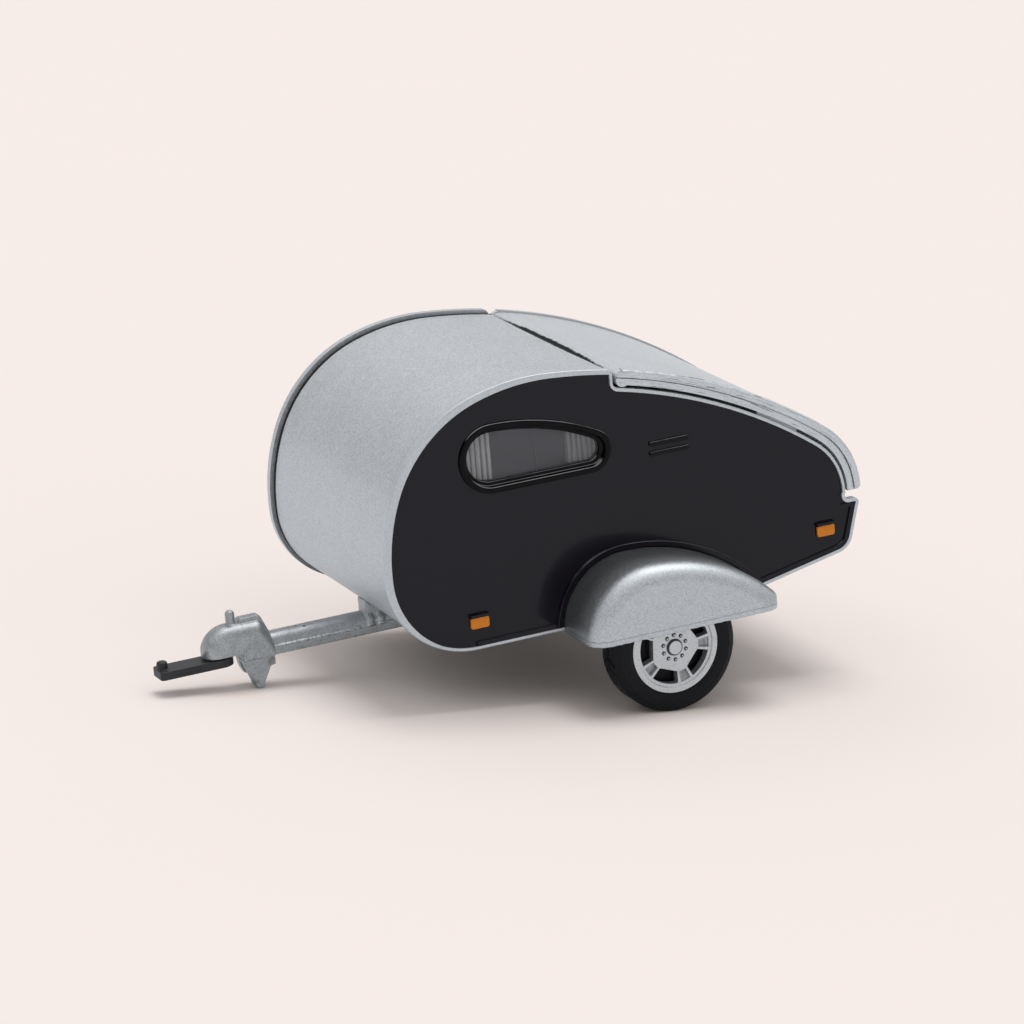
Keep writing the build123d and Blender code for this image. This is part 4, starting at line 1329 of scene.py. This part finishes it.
@dataclass
class Hatch:
    """The lifting rear hatch."""

    nodes: tuple[str, ...] = ("hatch_shell", "hatch_liner")

    def build(self) -> None:
        """Give the shell and liner their paint."""
        for node in self.nodes:
            Bench.dress(node, Finish.HATCH)


@dataclass
class Fenders:
    """The two fenders, with the rounded edges of a casting."""

    voxel: float = 0.22
    passes: int = 4

    def build(self) -> None:
        """Cast both fenders over their solids."""
        for side in Side:
            node = side.named("fender")
            piece = Bench.cast_copy(node, side.named("fender_casting"), self.voxel, self.passes)
            Bench.mount(piece, Rider.TRAILER, "silver_paint", Finish.FENDER, (node,))


@dataclass
class TowGear:
    """Drawbar, coupler, parking leg and tow hook as cast or moulded."""

    castings: tuple[tuple[str, float, int], ...] = (
        ("drawbar", 0.17, 4), ("coupler", 0.11, 6), ("jack_leg", 0.1, 3),
    )
    hook_voxel: float = 0.11
    hook_passes: int = 4

    def build(self) -> None:
        """Soften each solid into a casting."""
        for node, voxel, passes in self.castings:
            piece = Bench.cast_copy(node, f"{node}_casting", voxel, passes)
            Bench.mount(piece, Rider.TRAILER, "cast_metal", Finish.CASTING, (node,))
        hook = Bench.cast_copy("tow_hook", "tow_hook_moulding", self.hook_voxel, self.hook_passes)
        Bench.mount(hook, Rider.HOOK, "hook_plastic", Finish.HOOK, ("tow_hook",))


@dataclass
class Wheels:
    """The two wheels: treaded tyres, rims, lug rings and the dark backing behind the spokes.

    The sidewall's corners are insets and radii, the crown's rows are insets and slants, and the
    backing's corners are y and radius.
    """

    blocks: int = 46
    block_steps: int = 5
    slant_steps: int = 2
    groove: float = 0.2
    crown_drop: float = 0.03
    rim_edge: float = 0.12
    drum_steps: int = 64
    stud_steps: int = 12
    stud_long: float = 0.5
    stud_edge: float = 0.1
    soft_angle: float = 40.0
    sidewall: tuple[Pair, ...] = (
        (0.60, 9.10), (0.24, 9.22), (0.12, 9.50), (0.03, 10.2), (0.0, 10.9), (0.07, 11.46), (0.02, 11.53),
        (0.02, 11.66), (0.10, 11.74), (0.22, 12.20), (0.42, 12.60), (0.70, 12.88),
    )
    crown: tuple[tuple[float, int], ...] = ((1.0, 0), (2.15, 1), (3.25, 2), (3.55, 2), (4.65, 1), (5.8, 0))
    backing: tuple[Pair, ...] = (
        (40.3, 2.9), (40.3, 5.0), (40.05, 5.2), (40.05, 7.9), (39.8, 8.3), (39.3, 8.3), (39.3, 2.9),
    )

    def build(self) -> None:
        """Build both wheels' pieces and dress the axle."""
        for side in Side:
            rim, tyre = side.named("rim"), side.named("tyre")
            plated = Bench.rounded_copy(rim, side.named("rim_plated"), self.rim_edge)
            Bench.mount(plated, Rider.WHEELSET, "wheel_silver", Finish.WHEEL, (rim,))
            Bench.mount(self.tyre(side), Rider.WHEELSET, "tyre_rubber", Finish.RUBBER, (tyre,))
            Bench.mount(self.lug_studs(side), Rider.WHEELSET, "wheel_silver", Finish.WHEEL)
            profile = [(side.value * y, radius, 0) for y, radius in self.backing]
            drum = Bench.ring(side.named("wheel_backing"), profile, self.drum_steps)
            Bench.smooth(drum)
            Bench.mount(drum, Rider.WHEELSET, "base_plastic", Finish.RUBBER)
        Bench.dress("axle", Finish.STEEL)

    def tyre(self, side: Side) -> Piece:
        """Turn the tyre and sink its chevron grooves.

        Args:
            side: Which wheel.

        Returns:
            The tyre.
        """
        low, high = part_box(side.named("tyre"))
        outer, inner = (high.y / MM, low.y / MM) if side is Side.LEFT else (low.y / MM, high.y / MM)
        steps = self.blocks * self.block_steps
        step = math.tau / steps
        slant = self.slant_steps * step
        top = LEVEL.tyre_radius - self.crown_drop
        near = [(outer - side.value * inset, radius, 0) for inset, radius in self.sidewall]
        far = [(inner + side.value * inset, radius, 0) for inset, radius in reversed(self.sidewall)]
        rows = [(outer - side.value * inset, top, turn * slant) for inset, turn in self.crown]
        tyre = Bench.ring(side.named("tyre_treaded"), near + rows + far, steps)

        def grooved(face: bpy.types.MeshPolygon) -> bool:
            """Whether a face of the crown lies in a groove.

            Args:
                face: A face of the tyre.

            Returns:
                True for the middle groove and for one step in each block.
            """
            place = (face.center - LEVEL.axle) / MM
            if math.hypot(place.x, place.z) < top - 0.02:
                return False
            for (y, _, turn), (next_y, _, next_turn) in zip(rows, rows[1:]):
                if min(y, next_y) < face.center.y / MM < max(y, next_y):
                    if turn == next_turn:
                        return True
                    count = (math.atan2(place.z, place.x) - (turn + next_turn) / 2) / step
                    return math.floor(count) % self.block_steps == 0
            return False

        Bench.edit(tyre, grooved)
        bpy.ops.mesh.extrude_region_shrink_fatten(TRANSFORM_OT_shrink_fatten={"value": -self.groove * MM})
        bpy.ops.object.mode_set(mode="OBJECT")
        Bench.smooth(tyre, self.soft_angle)
        return tyre

    def lug_studs(self, side: Side) -> Piece:
        """The ring of moulded lug studs round the centre cap.

        Args:
            side: Which wheel.

        Returns:
            The studs.
        """
        Bench.deselect()
        bpy.ops.mesh.primitive_cylinder_add(
            vertices=self.stud_steps, radius=LUGS.radius * MM, depth=self.stud_long * MM,
            location=LEVEL.point(LUGS.ring, side.value * LUGS.disc_y, LEVEL.tyre_radius),
            rotation=(math.pi / 2, 0, 0),
        )
        stud = Bench.named("lug_stud")
        Bench.edit(stud, lambda face: face.normal.y * side.value > 0.5)
        bpy.ops.mesh.bevel(offset=self.stud_edge * MM, segments=2, affect="EDGES")
        bpy.ops.object.mode_set(mode="OBJECT")
        about = Matrix.Translation(LEVEL.axle)
        turns = [Matrix.Rotation(LUGS.pitch() * (lug + 0.5), 4, "Y") for lug in range(LUGS.count)]
        studs = Bench.repeat(stud, [about @ turn @ about.inverted() for turn in turns])
        ring = Bench.join(studs, side.named("lug_ring"))
        Bench.smooth(ring, self.soft_angle)
        return ring


@dataclass(frozen=True)
class Lamp:
    """A lamp's strength, its spread and its turns about X and Y in degrees.

    A key lamp throws light and shadow and isn't seen in gloss, and the others are seen in gloss alone.
    """

    name: str
    is_key: bool
    energy: float
    spread: float
    turns: Pair

    def hang(self) -> None:
        """Hang the lamp."""
        data = bpy.data.lights.new(self.name, "SUN")
        data.energy, data.angle = self.energy, math.radians(self.spread)
        lamp = bpy.data.objects.new(self.name, data)
        lamp.visible_diffuse, lamp.visible_glossy = self.is_key, not self.is_key
        lamp.rotation_euler = Euler((*(math.radians(turn) for turn in self.turns), 0))
        bpy.context.collection.objects.link(lamp)


@dataclass
class Studio:
    """Pale floor, soft light and the photograph's camera."""

    floor_size: float = 8.0
    floor_colour: Colour = (0.94, 0.85, 0.80)
    floor_grain: float = 40.0
    bounce: Colour = (0.75, 0.75, 0.755)
    from_axle: Triple = (405.732, 836.646, 251.341)
    azimuth: float = 65.0231
    elevation: float = 14.1876
    roll: float = 1.8347
    lens: float = 167.723
    sensor: float = 36.0
    clip: Pair = (0.05, 30.0)
    sky: float = 0.5
    room: tuple[tuple[float, Colour], ...] = (
        (0.0, (0.92, 0.92, 0.93)), (0.3, (0.95, 0.95, 0.96)), (0.75, (1.4, 1.4, 1.43)),
    )
    lamps: tuple[Lamp, ...] = (
        Lamp("key_light", True, 1.15, 30.0, (5.0, -5.0)),
        Lamp("strip_light", False, 0.35, 40.0, (2.0, -24.3)),
        Lamp("overhead_panel", False, 0.75, 64.0, (5.0, -5.0)),
    )

    def build(self) -> None:
        """Set the stage."""
        bpy.context.scene.view_settings.view_transform = "Standard"
        self.floor()
        self.world()
        for lamp in self.lamps:
            lamp.hang()
        self.camera()

    def floor(self) -> None:
        """Lay the floor, which throws plain grey light on to the trailer."""
        Bench.deselect()
        bpy.ops.mesh.primitive_plane_add(size=self.floor_size, location=(0, 0, 0))
        floor = Bench.named("studio_floor")
        paper = Shading.of("studio_paper")
        fibre = paper.noise(self.floor_grain)
        tint = paper.blend(fibre, shaded(self.floor_colour, 0.995), self.floor_colour)
        seen = paper.node("ShaderNodeLightPath", output="Is Camera Ray")
        shader = paper.node("ShaderNodeBsdfDiffuse", {}, {"Color": paper.blend(seen, self.bounce, tint)})
        paper.node("ShaderNodeOutputMaterial", {}, {"Surface": shader})
        floor.data.materials.append(paper.owner)

    def world(self) -> None:
        """Light the room, brightest overhead."""
        world = bpy.data.worlds.new("soft_room")
        bpy.context.scene.world = world
        room = Shading(world)
        height = room.axes(room.node("ShaderNodeTexCoord", output="Generated"))[2]
        shade = room.node("ShaderNodeValToRGB", {"color_ramp": self.room}, {"Fac": height})
        light = room.node("ShaderNodeBackground", {}, {"Color": shade, "Strength": self.sky})
        room.node("ShaderNodeOutputWorld", {}, {"Surface": light})

    def camera(self) -> None:
        """Stand the camera where the photograph was taken from."""
        turn, rise, roll = (math.radians(part) for part in (self.azimuth, self.elevation, self.roll))
        back = Vector((math.cos(rise) * math.cos(turn), math.cos(rise) * math.sin(turn), math.sin(rise)))
        flat = Vector((-math.sin(turn), math.cos(turn), 0))
        upright = back.cross(flat)
        right = flat * math.cos(roll) + upright * math.sin(roll)
        data = bpy.data.cameras.new("photo_camera")
        data.lens, data.sensor_width, data.sensor_fit = self.lens, self.sensor, "HORIZONTAL"
        data.clip_start, data.clip_end = self.clip
        camera = bpy.data.objects.new("photo_camera", data)
        stand = Matrix((right, back.cross(right), back)).transposed().to_4x4()
        stand.translation = LEVEL.axle + Vector(self.from_axle) * MM
        camera.matrix_world = stand
        bpy.context.collection.objects.link(camera)
        bpy.context.scene.camera = camera


def main() -> None:
    """Build and dress the trailer in order."""
    logging.basicConfig(level=logging.INFO, format="%(name)s: %(message)s")
    Studio().build()
    Cabin().build()
    Hatch().build()
    Fenders().build()
    TowGear().build()
    Wheels().build()
    bpy.context.view_layer.update()


if __name__ == "__main__":
    main()
